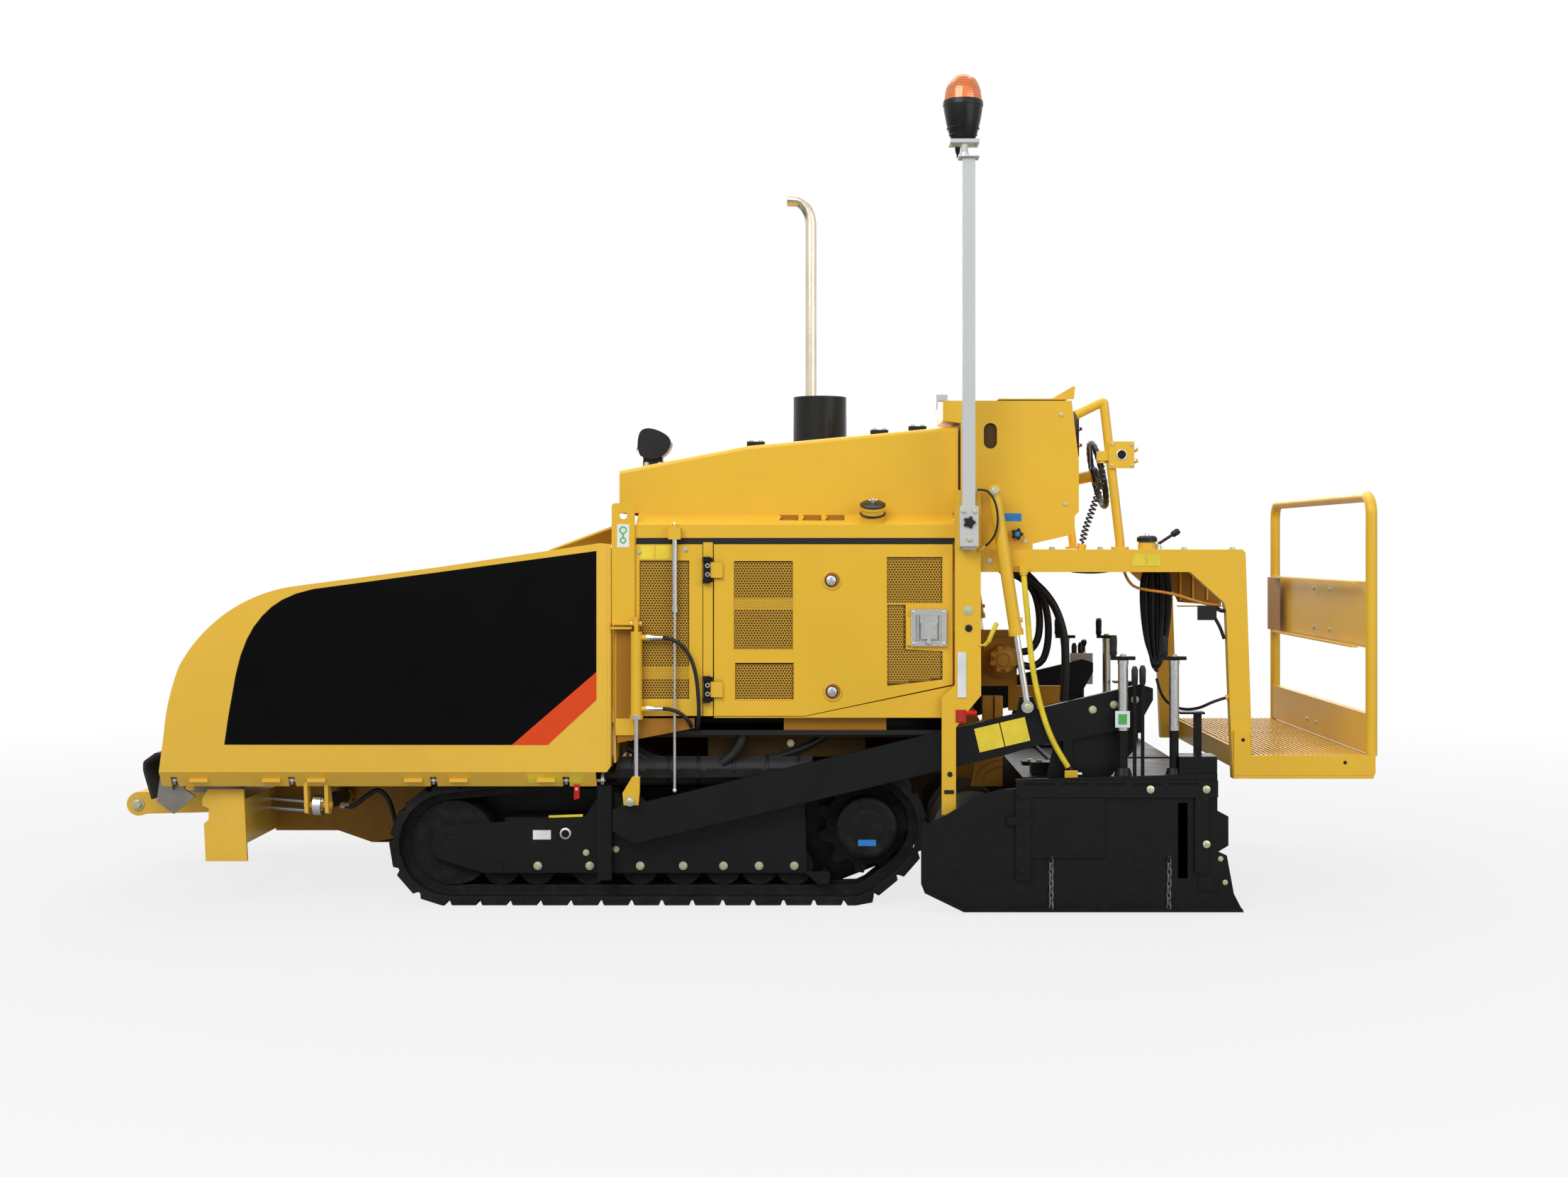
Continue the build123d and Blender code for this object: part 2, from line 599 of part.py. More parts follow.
def wing():
    wall = extrude(make_face(wing_outline(-WING_OUTER_Y)), WING_PLATE, dir=(0, 1, 0))
    top_y = -WING_OUTER_Y
    strip = plate_x([(top_y, WING_LOW_Z), (top_y + WING_PLATE, WING_LOW_Z), (-HINGE_Y + 8, WING_STRIP_Z + 4),
                     (-HINGE_Y + 2, WING_STRIP_Z)], WING_FRONT_X + 4, -455)
    wall += strip
    wall += box(WING_REAR_X - 8, WING_REAR_X, top_y + WING_PLATE, -665, 470, WING_TOP_Z - 19)
    wall += plate_x([(top_y + WING_PLATE, 520), (-688, 486), (-684, 486), (top_y + WING_PLATE, 530)], -1860, -440)
    lugs = hinge_lugs()
    for x in lugs:
        wall -= box(x - 6, x + 16, top_y + 12, -660, 390, 452)
    for first, second in zip(lugs, lugs[1:-1]):
        for x in (first + 60, second - 90):
            knuckle = rod_x(-HINGE_Y, HINGE_Z, HINGE_KNUCKLE_RADIUS, x, x + 60)
            arm = box(x, x + 60, top_y + 6, -HINGE_Y, HINGE_Z - 2, HINGE_Z + 10)
            wall += knuckle + arm
    wall -= rod_x(-HINGE_Y, HINGE_Z, HINGE_ROD_RADIUS + HINGE_FIT, WING_FRONT_X, WING_REAR_X)
    for x in (WING_PIN_X - 40, WING_PIN_X + 28):
        lever = plate_x([(-HINGE_Y - 8, 415), (-WING_PIN_Y - 26, 312), (-WING_PIN_Y + 6, 304),
                         (-WING_PIN_Y + 30, 330), (-HINGE_Y + 40, 385), (-HINGE_Y + 18, 404),
                         (-HINGE_Y + 14, 412)], x, x + 12)
        wall += lever
    wall += rod_x(-WING_PIN_Y, WING_PIN_Z, WING_PIN_RADIUS, WING_PIN_X - 46, WING_PIN_X + 46)
    return wall


def wing_cylinder_line():
    base = Vector(WING_PIN_X, -WING_BASE_Y, WING_BASE_Z)
    eye = Vector(WING_PIN_X, -WING_PIN_Y, WING_PIN_Z)
    return base, eye, (eye - base).normalized()


def wing_barrel():
    base, eye, way = wing_cylinder_line()
    start = base + way * 30
    barrel = extrude(Plane(origin=start, z_dir=way) * Circle(26), 205)
    barrel += extrude(Plane(origin=base, z_dir=way) * Circle(12), 40)
    barrel += rod_x(base.Y, base.Z, 24, base.X - WING_EYE_HALF, base.X + WING_EYE_HALF)
    barrel -= rod_x(base.Y, base.Z, LIFT_PIN_RADIUS + HINGE_FIT, base.X - 40, base.X + 40)
    barrel -= extrude(Plane(origin=base + way * 60, z_dir=way) * Circle(12 + HINGE_FIT), 215)
    return barrel


def wing_rod():
    base, eye, way = wing_cylinder_line()
    start = base + way * 150
    length = (eye - start).length
    rod = extrude(Plane(origin=start, z_dir=way) * Circle(12), length)
    rod += rod_x(eye.Y, eye.Z, WING_EYE_RADIUS, eye.X - WING_EYE_HALF, eye.X + WING_EYE_HALF)
    rod -= rod_x(eye.Y, eye.Z, WING_PIN_RADIUS + WING_PIN_PLAY, eye.X - 40, eye.X + 40)
    return rod


def wing_cylinder_brackets():
    base, eye, way = wing_cylinder_line()
    lugs = None
    for x in (base.X - 28, base.X + 16):
        lug = box(x, x + 12, base.Y - 22, -FRAME_HALF, base.Z - 24, base.Z + 24)
        lugs = lug if lugs is None else lugs + lug
    lugs += rod_x(base.Y, base.Z, LIFT_PIN_RADIUS, base.X - 34, base.X + 34)
    return lugs


def bulkhead():
    # hopper's rear wall with the conveyor gate, and the cover that slopes forward from its top
    half = BODY_HALF - 10
    wall = box(BULKHEAD_X, BULKHEAD_X + BULKHEAD_PLATE, -half, half, 480, BULKHEAD_TOP_Z)
    wall -= box(BULKHEAD_X - 5, BULKHEAD_X + 15, -HOPPER_TROUGH_HALF, HOPPER_TROUGH_HALF, 400,
                ENGINE_DECK_Z)
    wall += box(BULKHEAD_X, BULKHEAD_X + BULKHEAD_PLATE, -HOPPER_TROUGH_HALF - 60, -HOPPER_TROUGH_HALF, 380, 480)
    wall += box(BULKHEAD_X, BULKHEAD_X + BULKHEAD_PLATE, HOPPER_TROUGH_HALF, HOPPER_TROUGH_HALF + 60, 380, 480)
    cover = plate_y([(-620, 1179), (-620, 1187), (-410, 1266), (BULKHEAD_X, 1266), (BULKHEAD_X, 1257),
                     (-408, 1257)], -half + 50, half - 50)
    return wall + cover


def front_apron():
    # rubber flap that hangs over the push rollers from the hopper's lip
    path = FilletPolyline((HOPPER_FRONT_X - 1, 0, 490), (-1962, 0, 494), (-2001, 0, 466), (-2001, 0, 440),
                          (-1972, 0, 342), radius=12)
    side = sweep(Plane(origin=path @ 0, z_dir=path % 0, x_dir=(0, 1, 0)) * Rectangle(1120, 12), path=path)
    return side


def conveyor():
    # slat conveyor that runs from the hopper to the augers
    deck = None
    for x in range(-1500, 540, 140):
        slat = box(x, x + 40, -222, 222, 290, 306)
        deck = slat if deck is None else deck + slat
    for y in (-150, 150):
        chain = box(-1555, 600, y - 14, y + 14, 272, 290)
        deck += chain
    reach = FRAME_HALF - FRAME_PLATE - WHEEL_GAP
    deck += rod_y(600, 282, 40, -reach, reach) + rod_y(-1555, 282, 30, -reach, reach)
    return deck


def augers():
    # shaft with one helical flight, drawn upright and then laid along the shaft
    shaft = rod_y(AUGER_X, AUGER_Z, AUGER_SHAFT, -AUGER_OUTER_Y, -AUGER_INNER_Y)
    length = AUGER_OUTER_Y - AUGER_INNER_Y - 2 * AUGER_END
    middle = (AUGER_SHAFT - 4 + AUGER_RADIUS) / 2
    helix = Helix(pitch=AUGER_PITCH, height=length, radius=middle)
    blade = Plane(origin=helix @ 0, x_dir=(1, 0, 0), z_dir=helix % 0) * Rectangle(AUGER_RADIUS - AUGER_SHAFT + 4,
                                                                                  AUGER_FLIGHT)
    flight = sweep(blade, path=helix, is_frenet=True)
    return shaft + Pos(AUGER_X, -AUGER_INNER_Y - AUGER_END, AUGER_Z) * Rot(90, 0, 0) * flight


def auger_carrier():
    # chain case and hydraulic motor over the augers, hung from the frame's rear
    case = plate_y([(752, 180), (848, 180), (866, 210), (872, 560), (840, 620), (752, 620),
                    (ENGINE_DECK_REAR_X, 560), (ENGINE_DECK_REAR_X, 210)],
                   -58, 58)
    case += box(FRAME_REAR_X, ENGINE_DECK_REAR_X, -58, 58, 380, 540)
    motor = rod_y(932, 803, 46, -340, -230) + rod_y(932, 803, 70, -230, -212)
    bracket = box(BODY_REAR_X, 990, -212, -196, 700, 900)
    return case, motor + bracket


# Body over the engine


def body_shell():
    inner = BODY_HALF - DOOR_THICKNESS
    inside = HOOD_HALF - RAIL_INNER_GAP
    profile = [(-BODY_HALF, RAIL_BOTTOM_Z), (-BODY_HALF, RAIL_FACE_Z), (-HOOD_HALF, RAIL_TOP_Z),
               (-inside, RAIL_TOP_Z), (-inside, RAIL_BOTTOM_Z)]
    shell = both(plate_x(profile, BODY_FRONT_X, BODY_REAR_X))
    shell += box(BODY_FRONT_X, BODY_FRONT_X + 40, -inside, inside, RAIL_BOTTOM_Z, RAIL_TOP_Z)
    shell += box(BODY_REAR_X - 12, BODY_REAR_X, -inside, inside, RAIL_BOTTOM_Z, RAIL_TOP_Z)
    for index in range(VENT_COUNT):
        x = VENT_X + index * VENT_PITCH
        slot = plate_y([(x, RAIL_FACE_Z + 15), (x + VENT_PITCH - 12, RAIL_FACE_Z + 15),
                        (x + VENT_PITCH - 12, RAIL_FACE_Z + 34), (x + 14, RAIL_FACE_Z + 34)],
                       -BODY_HALF, -HOOD_HALF - 26)
        shell -= both(slot)
    front = box(BODY_FRONT_X, BODY_FRONT_X + BODY_PLATE, -inner, inner, ENGINE_DECK_Z + ENGINE_DECK_PLATE, RAIL_BOTTOM_Z)
    rear = box(BODY_REAR_X - BODY_PLATE, BODY_REAR_X, -inner, inner, ENGINE_DECK_Z + ENGINE_DECK_PLATE, RAIL_BOTTOM_Z)
    shell += front + rear
    shell += filler_neck()
    pillar = box(-100, DOOR_FRONT_X - 3, -BODY_HALF, -inner, BODY_BOTTOM_Z, RAIL_BOTTOM_Z)
    sill = plate_y([(BODY_FRONT_X, 604), (-392, 546), (-75, 600), (-66, 614), (230, 614), (470, 662), (727, 716),
                    (727, 690), (480, 632), (240, 585), (-60, 585), (-300, 572), (BODY_FRONT_X, 572)], -inner, -inner + 8)
    skirt = plate_y([(-392, 546), (BODY_FRONT_X, 634), (-103, 634), (-75, 604)], -BODY_HALF, -inner)
    shell += both(pillar + sill + skirt)
    column = box(BULKHEAD_X + BULKHEAD_PLATE, BODY_FRONT_X, -BODY_HALF, -BODY_HALF + COLUMN_DEPTH,
                 ENGINE_DECK_Z + ENGINE_DECK_PLATE, RAIL_FACE_Z)
    shell += both(column)
    floor = ENGINE_DECK_Z + ENGINE_DECK_PLATE
    tray = box(BODY_FRONT_X + BODY_PLATE, BODY_REAR_X - BODY_PLATE, -inner, -ENGINE_DECK_HALF, floor, floor + 8)
    shell += both(tray)
    return shell


def filler_neck():
    # neck and cap that lean out of the left rail's sloped face
    lean = math.radians(FILLER_LEAN)
    foot = Vector(FILLER_X, -(BODY_HALF + HOOD_HALF) / 2, (RAIL_FACE_Z + RAIL_TOP_Z) / 2 - 14)
    way = Vector(0, -math.sin(lean), math.cos(lean))
    neck = rod_between(foot, foot + way * 52, FILLER_RADIUS)
    return neck + rod_between(foot + way * 52, foot + way * 62, FILLER_RADIUS + 4)


def mesh_panel():
    panel = box(BODY_FRONT_X, -102, -BODY_HALF, -BODY_HALF + DOOR_THICKNESS, BODY_BOTTOM_Z, DOOR_TOP_Z)
    panel -= box(BODY_FRONT_X + 12, -146, -BODY_HALF - 1, -BODY_HALF + DOOR_THICKNESS + 1, 692, 1151)
    panel += box(BODY_FRONT_X + 12, -146, -BODY_HALF + 4, -BODY_HALF + 8, 692, 1151)
    return panel


def door():
    outline = [(DOOR_FRONT_X, BODY_BOTTOM_Z), (DOOR_SLOPE_X, BODY_BOTTOM_Z), (DOOR_REAR_X, DOOR_REAR_BOTTOM_Z),
               (DOOR_REAR_X, DOOR_TOP_Z), (DOOR_FRONT_X, DOOR_TOP_Z)]
    inner = [(DOOR_FRONT_X + 8, BODY_BOTTOM_Z + 8), (DOOR_SLOPE_X, BODY_BOTTOM_Z + 8),
             (DOOR_REAR_X - 8, DOOR_REAR_BOTTOM_Z + 8), (DOOR_REAR_X - 8, DOOR_TOP_Z - 8),
             (DOOR_FRONT_X + 8, DOOR_TOP_Z - 8)]
    skin = plate_y(outline, -BODY_HALF, -BODY_HALF + DOOR_THICKNESS)
    skin -= plate_y(inner, -BODY_HALF + 4, -BODY_HALF + DOOR_THICKNESS + 1)
    for x0, x1, z0, z1 in ((1, 198, 857, 1151), (5, 201, 690, 814), (508, 694, 1010, 1164)):
        skin -= box(x0, x1, -BODY_HALF - 1, -BODY_HALF + 5, z0, z1)
        skin += box(x0 - 4, x1 + 4, -BODY_HALF + 4, -BODY_HALF + 7, z0 - 4, z1 + 4)
    for z in (725, 1120):
        leaf = box(DOOR_HINGE_X, DOOR_FRONT_X + 4, -DOOR_HINGE_Y, -BODY_HALF - 4, z - 26, z + 26)
        leaf += box(DOOR_FRONT_X + 1, DOOR_FRONT_X + 30, -DOOR_HINGE_Y, -BODY_HALF, z - 26, z + 26)
        leaf += rod_z(DOOR_HINGE_X, -DOOR_HINGE_Y, 9, z - 26, z + 26)
        skin += leaf - rod_z(DOOR_HINGE_X, -DOOR_HINGE_Y, 4 + HINGE_FIT, z - 40, z + 40)
    skin += box(572, 690, -BODY_HALF - 10, -BODY_HALF, 870, 960)
    return skin


def door_hinge_pins():
    pins = None
    for z in (725, 1120):
        pin = rod_z(DOOR_HINGE_X, -DOOR_HINGE_Y, 4, z - 44, z + 44)
        for end in (z - 44, z + 28):
            pin += box(DOOR_HINGE_X - 16, DOOR_HINGE_X + 8, -DOOR_HINGE_Y - 8, -BODY_HALF, end, end + 16)
        pins = pin if pins is None else pins + pin
    return pins


def work_light():
    # lamp head turned forward on its foot, near the hood's front left corner
    foot_z = hood_top(WORK_LIGHT_X)
    head = Spline((-48, 0, 34), (-56, 0, 92), (-46, 0, 118), (30, 0, 112), (56, 0, 84), (48, 0, 52), (24, 0, 30),
                  (-48, 0, 34))
    head = extrude(make_face(head), 88, dir=(0, 1, 0))
    shape = Pos(WORK_LIGHT_X, -WORK_LIGHT_Y - 44, foot_z) * head
    shape += box(WORK_LIGHT_X - 40, WORK_LIGHT_X + 26, -WORK_LIGHT_Y - 22, -WORK_LIGHT_Y + 22, foot_z + 10, foot_z + 44)
    base = box(WORK_LIGHT_X - 40, WORK_LIGHT_X + 30, -WORK_LIGHT_Y - 30, -WORK_LIGHT_Y + 30, foot_z - 20, foot_z + 14)
    return shape + base - plate_y(hood_outline(), -HOOD_HALF, HOOD_HALF)


def horn():
    # horn box in the corner of the left leg, on a flat bracket
    low_y = -DECK_HALF + 6
    high_y = -DECK_HALF + LEG_PLATE - 6
    shape = box(DECK_LEG_X - 111, DECK_LEG_X - 52, low_y, high_y, DECK_BEAM_Z - 160, DECK_BEAM_Z - 112)
    return shape + box(DECK_LEG_X - 52, DECK_LEG_X - 24, low_y, high_y, DECK_BEAM_Z - 130, DECK_BEAM_Z - 124)


def hood_top(x):
    return HOOD_FRONT_Z + (x - HOOD_FRONT_X) * (HOOD_KNEE_Z - HOOD_FRONT_Z) / (HOOD_KNEE_X - HOOD_FRONT_X)


def hood_outline():
    return [(HOOD_FRONT_X, RAIL_TOP_Z), (HOOD_REAR_X, RAIL_TOP_Z), (HOOD_REAR_X, HOOD_REAR_Z),
            (HOOD_KNEE_X, HOOD_KNEE_Z), (HOOD_FRONT_X, HOOD_FRONT_Z)]


def hood():
    side = hood_outline()
    inner = [(HOOD_FRONT_X + HOOD_PLATE, RAIL_TOP_Z - 1), (HOOD_REAR_X - HOOD_PLATE, RAIL_TOP_Z - 1),
             (HOOD_REAR_X - HOOD_PLATE, HOOD_REAR_Z - HOOD_PLATE - 1), (HOOD_KNEE_X, HOOD_KNEE_Z - HOOD_PLATE),
             (HOOD_FRONT_X + HOOD_PLATE, HOOD_FRONT_Z - HOOD_PLATE - 1)]
    shell = plate_y(side, -HOOD_HALF, HOOD_HALF)
    bends = [edge for edge in shell.edges().filter_by(Plane.XZ)
             if edge.center().Z > HOOD_FRONT_Z and abs((edge % 0.5).X) > 0.5]
    shell = fillet(bends, HOOD_BEND)
    shell -= plate_y(inner, -HOOD_HALF + HOOD_PLATE, HOOD_HALF - HOOD_PLATE)
    return shell


def rear_post():
    upper = [(733, 1384), (817, 1384), (819, 706), (780, 660), (736, 600), (736, 312), (689, 312), (689, 699),
             (733, 740)]
    post = plate_y(upper, -POST_OUTER_Y, -POST_OUTER_Y + POST_PLATE)
    post += box(733, 745, -POST_OUTER_Y + POST_PLATE, -674, 760, 1384)
    post += box(746, 804, -MAST_Y - 32, -POST_OUTER_Y, 1196, 1330)
    clear = MAST_SIDE / 2 + 0.5
    post -= box(MAST_X - clear, MAST_X + clear, -MAST_Y - clear, -MAST_Y + clear, 1190, 1340)
    # slot that lets the mast's cable gland down through the bracket
    slot = MAST_GLAND_RADIUS + 5
    post -= box(MAST_X, 810, -MAST_Y - slot, -MAST_Y + slot, 1190, 1340)
    return post


# Operator's deck


def deck_side():
    outline = [(DECK_FRONT_X, DECK_TOP_Z), (DECK_REAR_X - 10, DECK_TOP_Z), (DECK_REAR_X, DECK_TOP_Z - 12),
               (PLATFORM_FRONT_X, PLATFORM_TOP_Z), (PLATFORM_FRONT_X, PLATFORM_BOTTOM_Z),
               (DECK_LEG_X, PLATFORM_BOTTOM_Z), (DECK_LEG_X - 21, DECK_BEAM_Z - 133), (DECK_LEG_X - 28, DECK_BEAM_Z - 102),
               (DECK_LEG_X - 141, DECK_BEAM_Z), (DECK_FRONT_X, DECK_BEAM_Z)]
    return plate_y(outline, -DECK_HALF, -DECK_HALF + LEG_PLATE)


def deck():
    frame = both(deck_side())
    inside = DECK_HALF - LEG_PLATE
    frame += box(DECK_FRONT_X, DECK_REAR_X - 10, -inside, inside, DECK_TOP_Z - DECK_PLATE, DECK_TOP_Z)
    frame += box(DECK_FRONT_X, DECK_FRONT_X + 12, -inside, inside, DECK_BEAM_Z, DECK_TOP_Z - DECK_PLATE)
    frame += box(DECK_REAR_X - 30, DECK_REAR_X - 18, -inside, inside, DECK_BEAM_Z, DECK_TOP_Z - DECK_PLATE)
    frame += box(BODY_REAR_X + 1, DECK_FRONT_X, -DECK_NECK_HALF, DECK_NECK_HALF, DECK_BEAM_Z, DECK_TOP_Z)
    return frame


def platform():
    # tray with a raised rim round a grating of long bars on three cross bars
    front = PLATFORM_FRONT_X
    rear = PLATFORM_REAR_X
    edge = PLATFORM_PLATE
    body = box(front, rear, -PLATFORM_HALF, PLATFORM_HALF, PLATFORM_BOTTOM_Z, PLATFORM_TOP_Z)
    body -= box(front + edge, rear - edge, -PLATFORM_HALF + edge, PLATFORM_HALF - edge, PLATFORM_BOTTOM_Z - 1,
                PLATFORM_TOP_Z + 1)
    low = PLATFORM_TOP_Z - 30
    count = int((2 * PLATFORM_HALF - 2 * edge) / GRATING_PITCH)
    for index in range(count):
        y = (index - (count - 1) / 2) * GRATING_PITCH
        body += box(front + edge, rear - edge, y - GRATING_BAR / 2, y + GRATING_BAR / 2, low, PLATFORM_TOP_Z)
    third = (rear - front) / 4
    for step in (1, 2, 3):
        x = front + step * third
        body += box(x - 3, x + 3, -PLATFORM_HALF + edge, PLATFORM_HALF - edge, low, PLATFORM_TOP_Z - 4)
    return body


def guard_rail():
    x = PLATFORM_REAR_X
    r = RAIL_TUBE_RADIUS
    y = PLATFORM_HALF - 30
    rail = tube([(x, -y, PLATFORM_TOP_Z), (x, -y, RAIL_GUARD_TOP_Z - r), (x, y, RAIL_GUARD_TOP_Z - r),
                 (x, y, PLATFORM_TOP_Z)], 60, r)
    # panels between the posts, each a channel with its flanges to the rear
    for low, high in ((RAIL_PANEL_LOW_Z, RAIL_PANEL_HIGH_Z), (PLATFORM_TOP_Z + 6, RAIL_BOARD_Z)):
        rail += box(x - 14, x - 8, -y, y, low, high)
        for z in (low, high - 6):
            rail += box(x - 8, x + 12, -y + r, y - r, z, z + 6)
    return rail


def console():
    outline = [(CONSOLE_FRONT_X, DECK_TOP_Z), (1001, DECK_TOP_Z), (1001, 1207), (1142, 1240), (1142, 1300),
               (CONSOLE_REAR_X, 1314), (CONSOLE_REAR_X, 1485), (1132, CONSOLE_TOP_Z), (700, CONSOLE_TOP_Z),
               (700, 1620), (CONSOLE_FRONT_X, 1612)]
    shell = plate_y(outline, -CONSOLE_OUTER_Y, -CONSOLE_INNER_Y)
    inner = [(CONSOLE_FRONT_X + 6, DECK_TOP_Z + 6), (995, DECK_TOP_Z + 6), (995, 1213), (1136, 1246), (1136, 1300),
             (CONSOLE_REAR_X - 6, 1316), (CONSOLE_REAR_X - 6, 1480), (1127, CONSOLE_TOP_Z - 8),
             (CONSOLE_FRONT_X + 6, CONSOLE_TOP_Z - 8)]
    shell -= plate_y(inner, -CONSOLE_OUTER_Y + 6, -CONSOLE_INNER_Y - 6)
    slot = rod_y(859, 1590, 22, -CONSOLE_OUTER_Y - 5, -CONSOLE_OUTER_Y + 10)
    slot += rod_y(859, 1548, 22, -CONSOLE_OUTER_Y - 5, -CONSOLE_OUTER_Y + 10)
    slot += box(837, 881, -CONSOLE_OUTER_Y - 5, -CONSOLE_OUTER_Y + 10, 1548, 1590)
    column = rod_between((CONSOLE_REAR_X - 3, -WHEEL_Y, 1426.5), steering_point(-24.3), 20)
    return shell - slot + column


def handrail():
    rail = tube([(CONSOLE_REAR_X - 8, -600, 1640), (1242, -600, 1686), (1297, -600, 1210), (1297, -600, DECK_TOP_Z)],
                6, HANDRAIL_RADIUS)
    return rail + rod_z(1297, -600, 30, DECK_TOP_Z, DECK_TOP_Z + 8)


def socket_box():
    # socket on the handrail with its prongs, and the holder that the curly cord hangs from
    top = CURLY_ROUTE[0]
    body = box(1258, 1340, -622, -578, 1462, 1548)
    for z in (1486, 1524):
        body += rod_x(-600, z, 7, 1340, 1357)
    body += box(top[0] - 16, 1262, -618, -582, top[2] + 8, top[2] + 40)
    return body + gland(top, CURLY_ROUTE[1], 15, 14)


def steering_point(distance):
    lean = math.radians(WHEEL_TILT)
    return (WHEEL_X + distance * math.cos(lean), -WHEEL_Y, WHEEL_Z + distance * math.sin(lean))


def steering_wheel():
    frame = Plane(origin=steering_point(0), z_dir=Vector(*steering_point(1)) - Vector(*steering_point(0)))
    wheel = frame * Torus(WHEEL_RADIUS, WHEEL_RIM)
    hub = extrude(Plane(origin=steering_point(-24), z_dir=frame.z_dir) * Circle(26), 30)
    for angle in (90, 210, 330):
        spoke = frame * Rot(0, 0, angle) * Pos(WHEEL_RADIUS / 2, 0, 0) * Box(WHEEL_RADIUS, 22, 6)
        hub += spoke
    return wheel + hub


def mast():
    low = MAST_BOTTOM_Z
    post = box(MAST_X - MAST_SIDE / 2, MAST_X + MAST_SIDE / 2, -MAST_Y - MAST_SIDE / 2, -MAST_Y + MAST_SIDE / 2,
               low, MAST_TOP_Z)
    post += rod_z(762, -MAST_Y, 12, MAST_TOP_Z, 2522)
    post += box(714, 810, -MAST_Y - 20, -BEACON_Y + 30, 2522, 2534)
    return post + gland(MAST_CABLE_ROUTE[0], MAST_CABLE_ROUTE[1], MAST_GLAND_RADIUS, 14)


def beacon():
    # egg-shaped beacon turned about its own axis, its base tapered towards the bracket
    base = Spline((0.56 * BEACON_RADIUS, 0, BEACON_BASE_Z), (0.9 * BEACON_RADIUS, 0, BEACON_BASE_Z + 62),
                  (BEACON_RADIUS, 0, BEACON_SEAM_Z))
    dome = Spline((0.96 * BEACON_RADIUS, 0, BEACON_SEAM_Z), (0.72 * BEACON_RADIUS, 0, BEACON_TOP_Z - 32),
                  (0, 0, BEACON_TOP_Z), tangents=[(-0.1, 0, 1), (-1, 0, 0)])
    profile = Line((0, 0, BEACON_BASE_Z), base @ 0) + base + Line(base @ 1, dome @ 0) + dome
    profile += Line(dome @ 1, (0, 0, BEACON_BASE_Z))
    return Pos(BEACON_X, -BEACON_Y, 0) * revolve(make_face(profile), Axis.Z)


def exhaust_pipe():
    return tube([(EXHAUST_X, 0, SHROUD_TOP_Z), (EXHAUST_X, 0, EXHAUST_TOP_Z), (160, 0, EXHAUST_TOP_Z)], 70,
                EXHAUST_RADIUS)


def muffler_shroud():
    shroud = rod_z(SHROUD_X, 0, SHROUD_RADIUS, 1540, SHROUD_TOP_Z)
    return shroud - plate_y(hood_outline(), -HOOD_HALF, HOOD_HALF)


# Screed


def arm_top(x):
    return ARM_LINE_Z + (x - ARM_LINE_X) * ARM_SLOPE


def tow_arm():
    front = -400.0
    outline = [(front, arm_top(front) - 70), (front, arm_top(front)), (-372, arm_top(-372) + 8), (-366, TOW_Z + 6),
               (-310, TOW_Z + 6), (-290, arm_top(-290)), (1348, arm_top(1348)), (ARM_REAR_X, 728), (ARM_REAR_X, 690),
               (1340, 600), (1010, 540), (900, arm_top(900) - ARM_DEPTH), (-330, arm_top(-330) - ARM_DEPTH)]
    arm = plate_y(outline, -ARM_OUTER_Y, -ARM_INNER_Y)
    arm -= rod_y(TOW_X, TOW_PIN_Z, TOW_PIN_RADIUS + HINGE_FIT, -ARM_OUTER_Y - 5, -ARM_INNER_Y + 5)
    eye = rod_y(LIFT_EYE_X, LIFT_EYE_Z, LIFT_EYE_PIN_RADIUS, -LIFT_Y - 14, -ARM_OUTER_Y)
    lug = plate_y([(940, arm_top(940)), (950, 700), (992, 700), (1006, arm_top(1006))], -ARM_OUTER_Y, -ARM_INNER_Y)
    last = SLEEVE_ROUTE[-1]
    block = box(last[0] - 12, last[0] + 30, -ARM_OUTER_Y - 30, -ARM_OUTER_Y, last[2] - 38, last[2] - 10)
    block += gland(last, SLEEVE_ROUTE[-2], 13, 20)
    hanger = box(last[0] - 14, last[0] + 14, -ARM_OUTER_Y, -ARM_INNER_Y, last[2] - 30, arm_top(last[0]) - ARM_DEPTH / 2)
    return arm + lug + eye + block + hanger


def screed():
    body = box(SCREED_FRONT_X, SCREED_SPLIT_X - 4, -SCREED_HALF, SCREED_HALF, SCREED_SOLE, SCREED_TOP_Z)
    body -= box(SCREED_FRONT_X + 12, SCREED_SPLIT_X - 16, -SCREED_HALF - 5, SCREED_HALF + 5, SCREED_SOLE + 20,
                SCREED_TOP_Z - 12)
    body += box(SCREED_FRONT_X - 2, SCREED_SPLIT_X - 4, -SCREED_HALF, SCREED_HALF, 0, SCREED_SOLE)
    stand = plate_y([(1040, SCREED_TOP_Z), (1070, 560), (1330, 600), (1330, 520), (1250, SCREED_TOP_Z)],
                    -ARM_INNER_Y, -ARM_INNER_Y + 14)
    stand += box(1060, 1240, -ARM_INNER_Y + 14, -SCREED_HALF + 40, SCREED_TOP_Z, SCREED_TOP_Z + 60)
    body += both(stand)
    for z in (160, 320):
        body += both(rod_y(SCREED_ROD_X, z, SCREED_ROD_RADIUS, -620, -20))
        body += box(SCREED_SPLIT_X - 4, SCREED_ROD_X + 30, -20, 20, z - 30, z + 30)
    return body


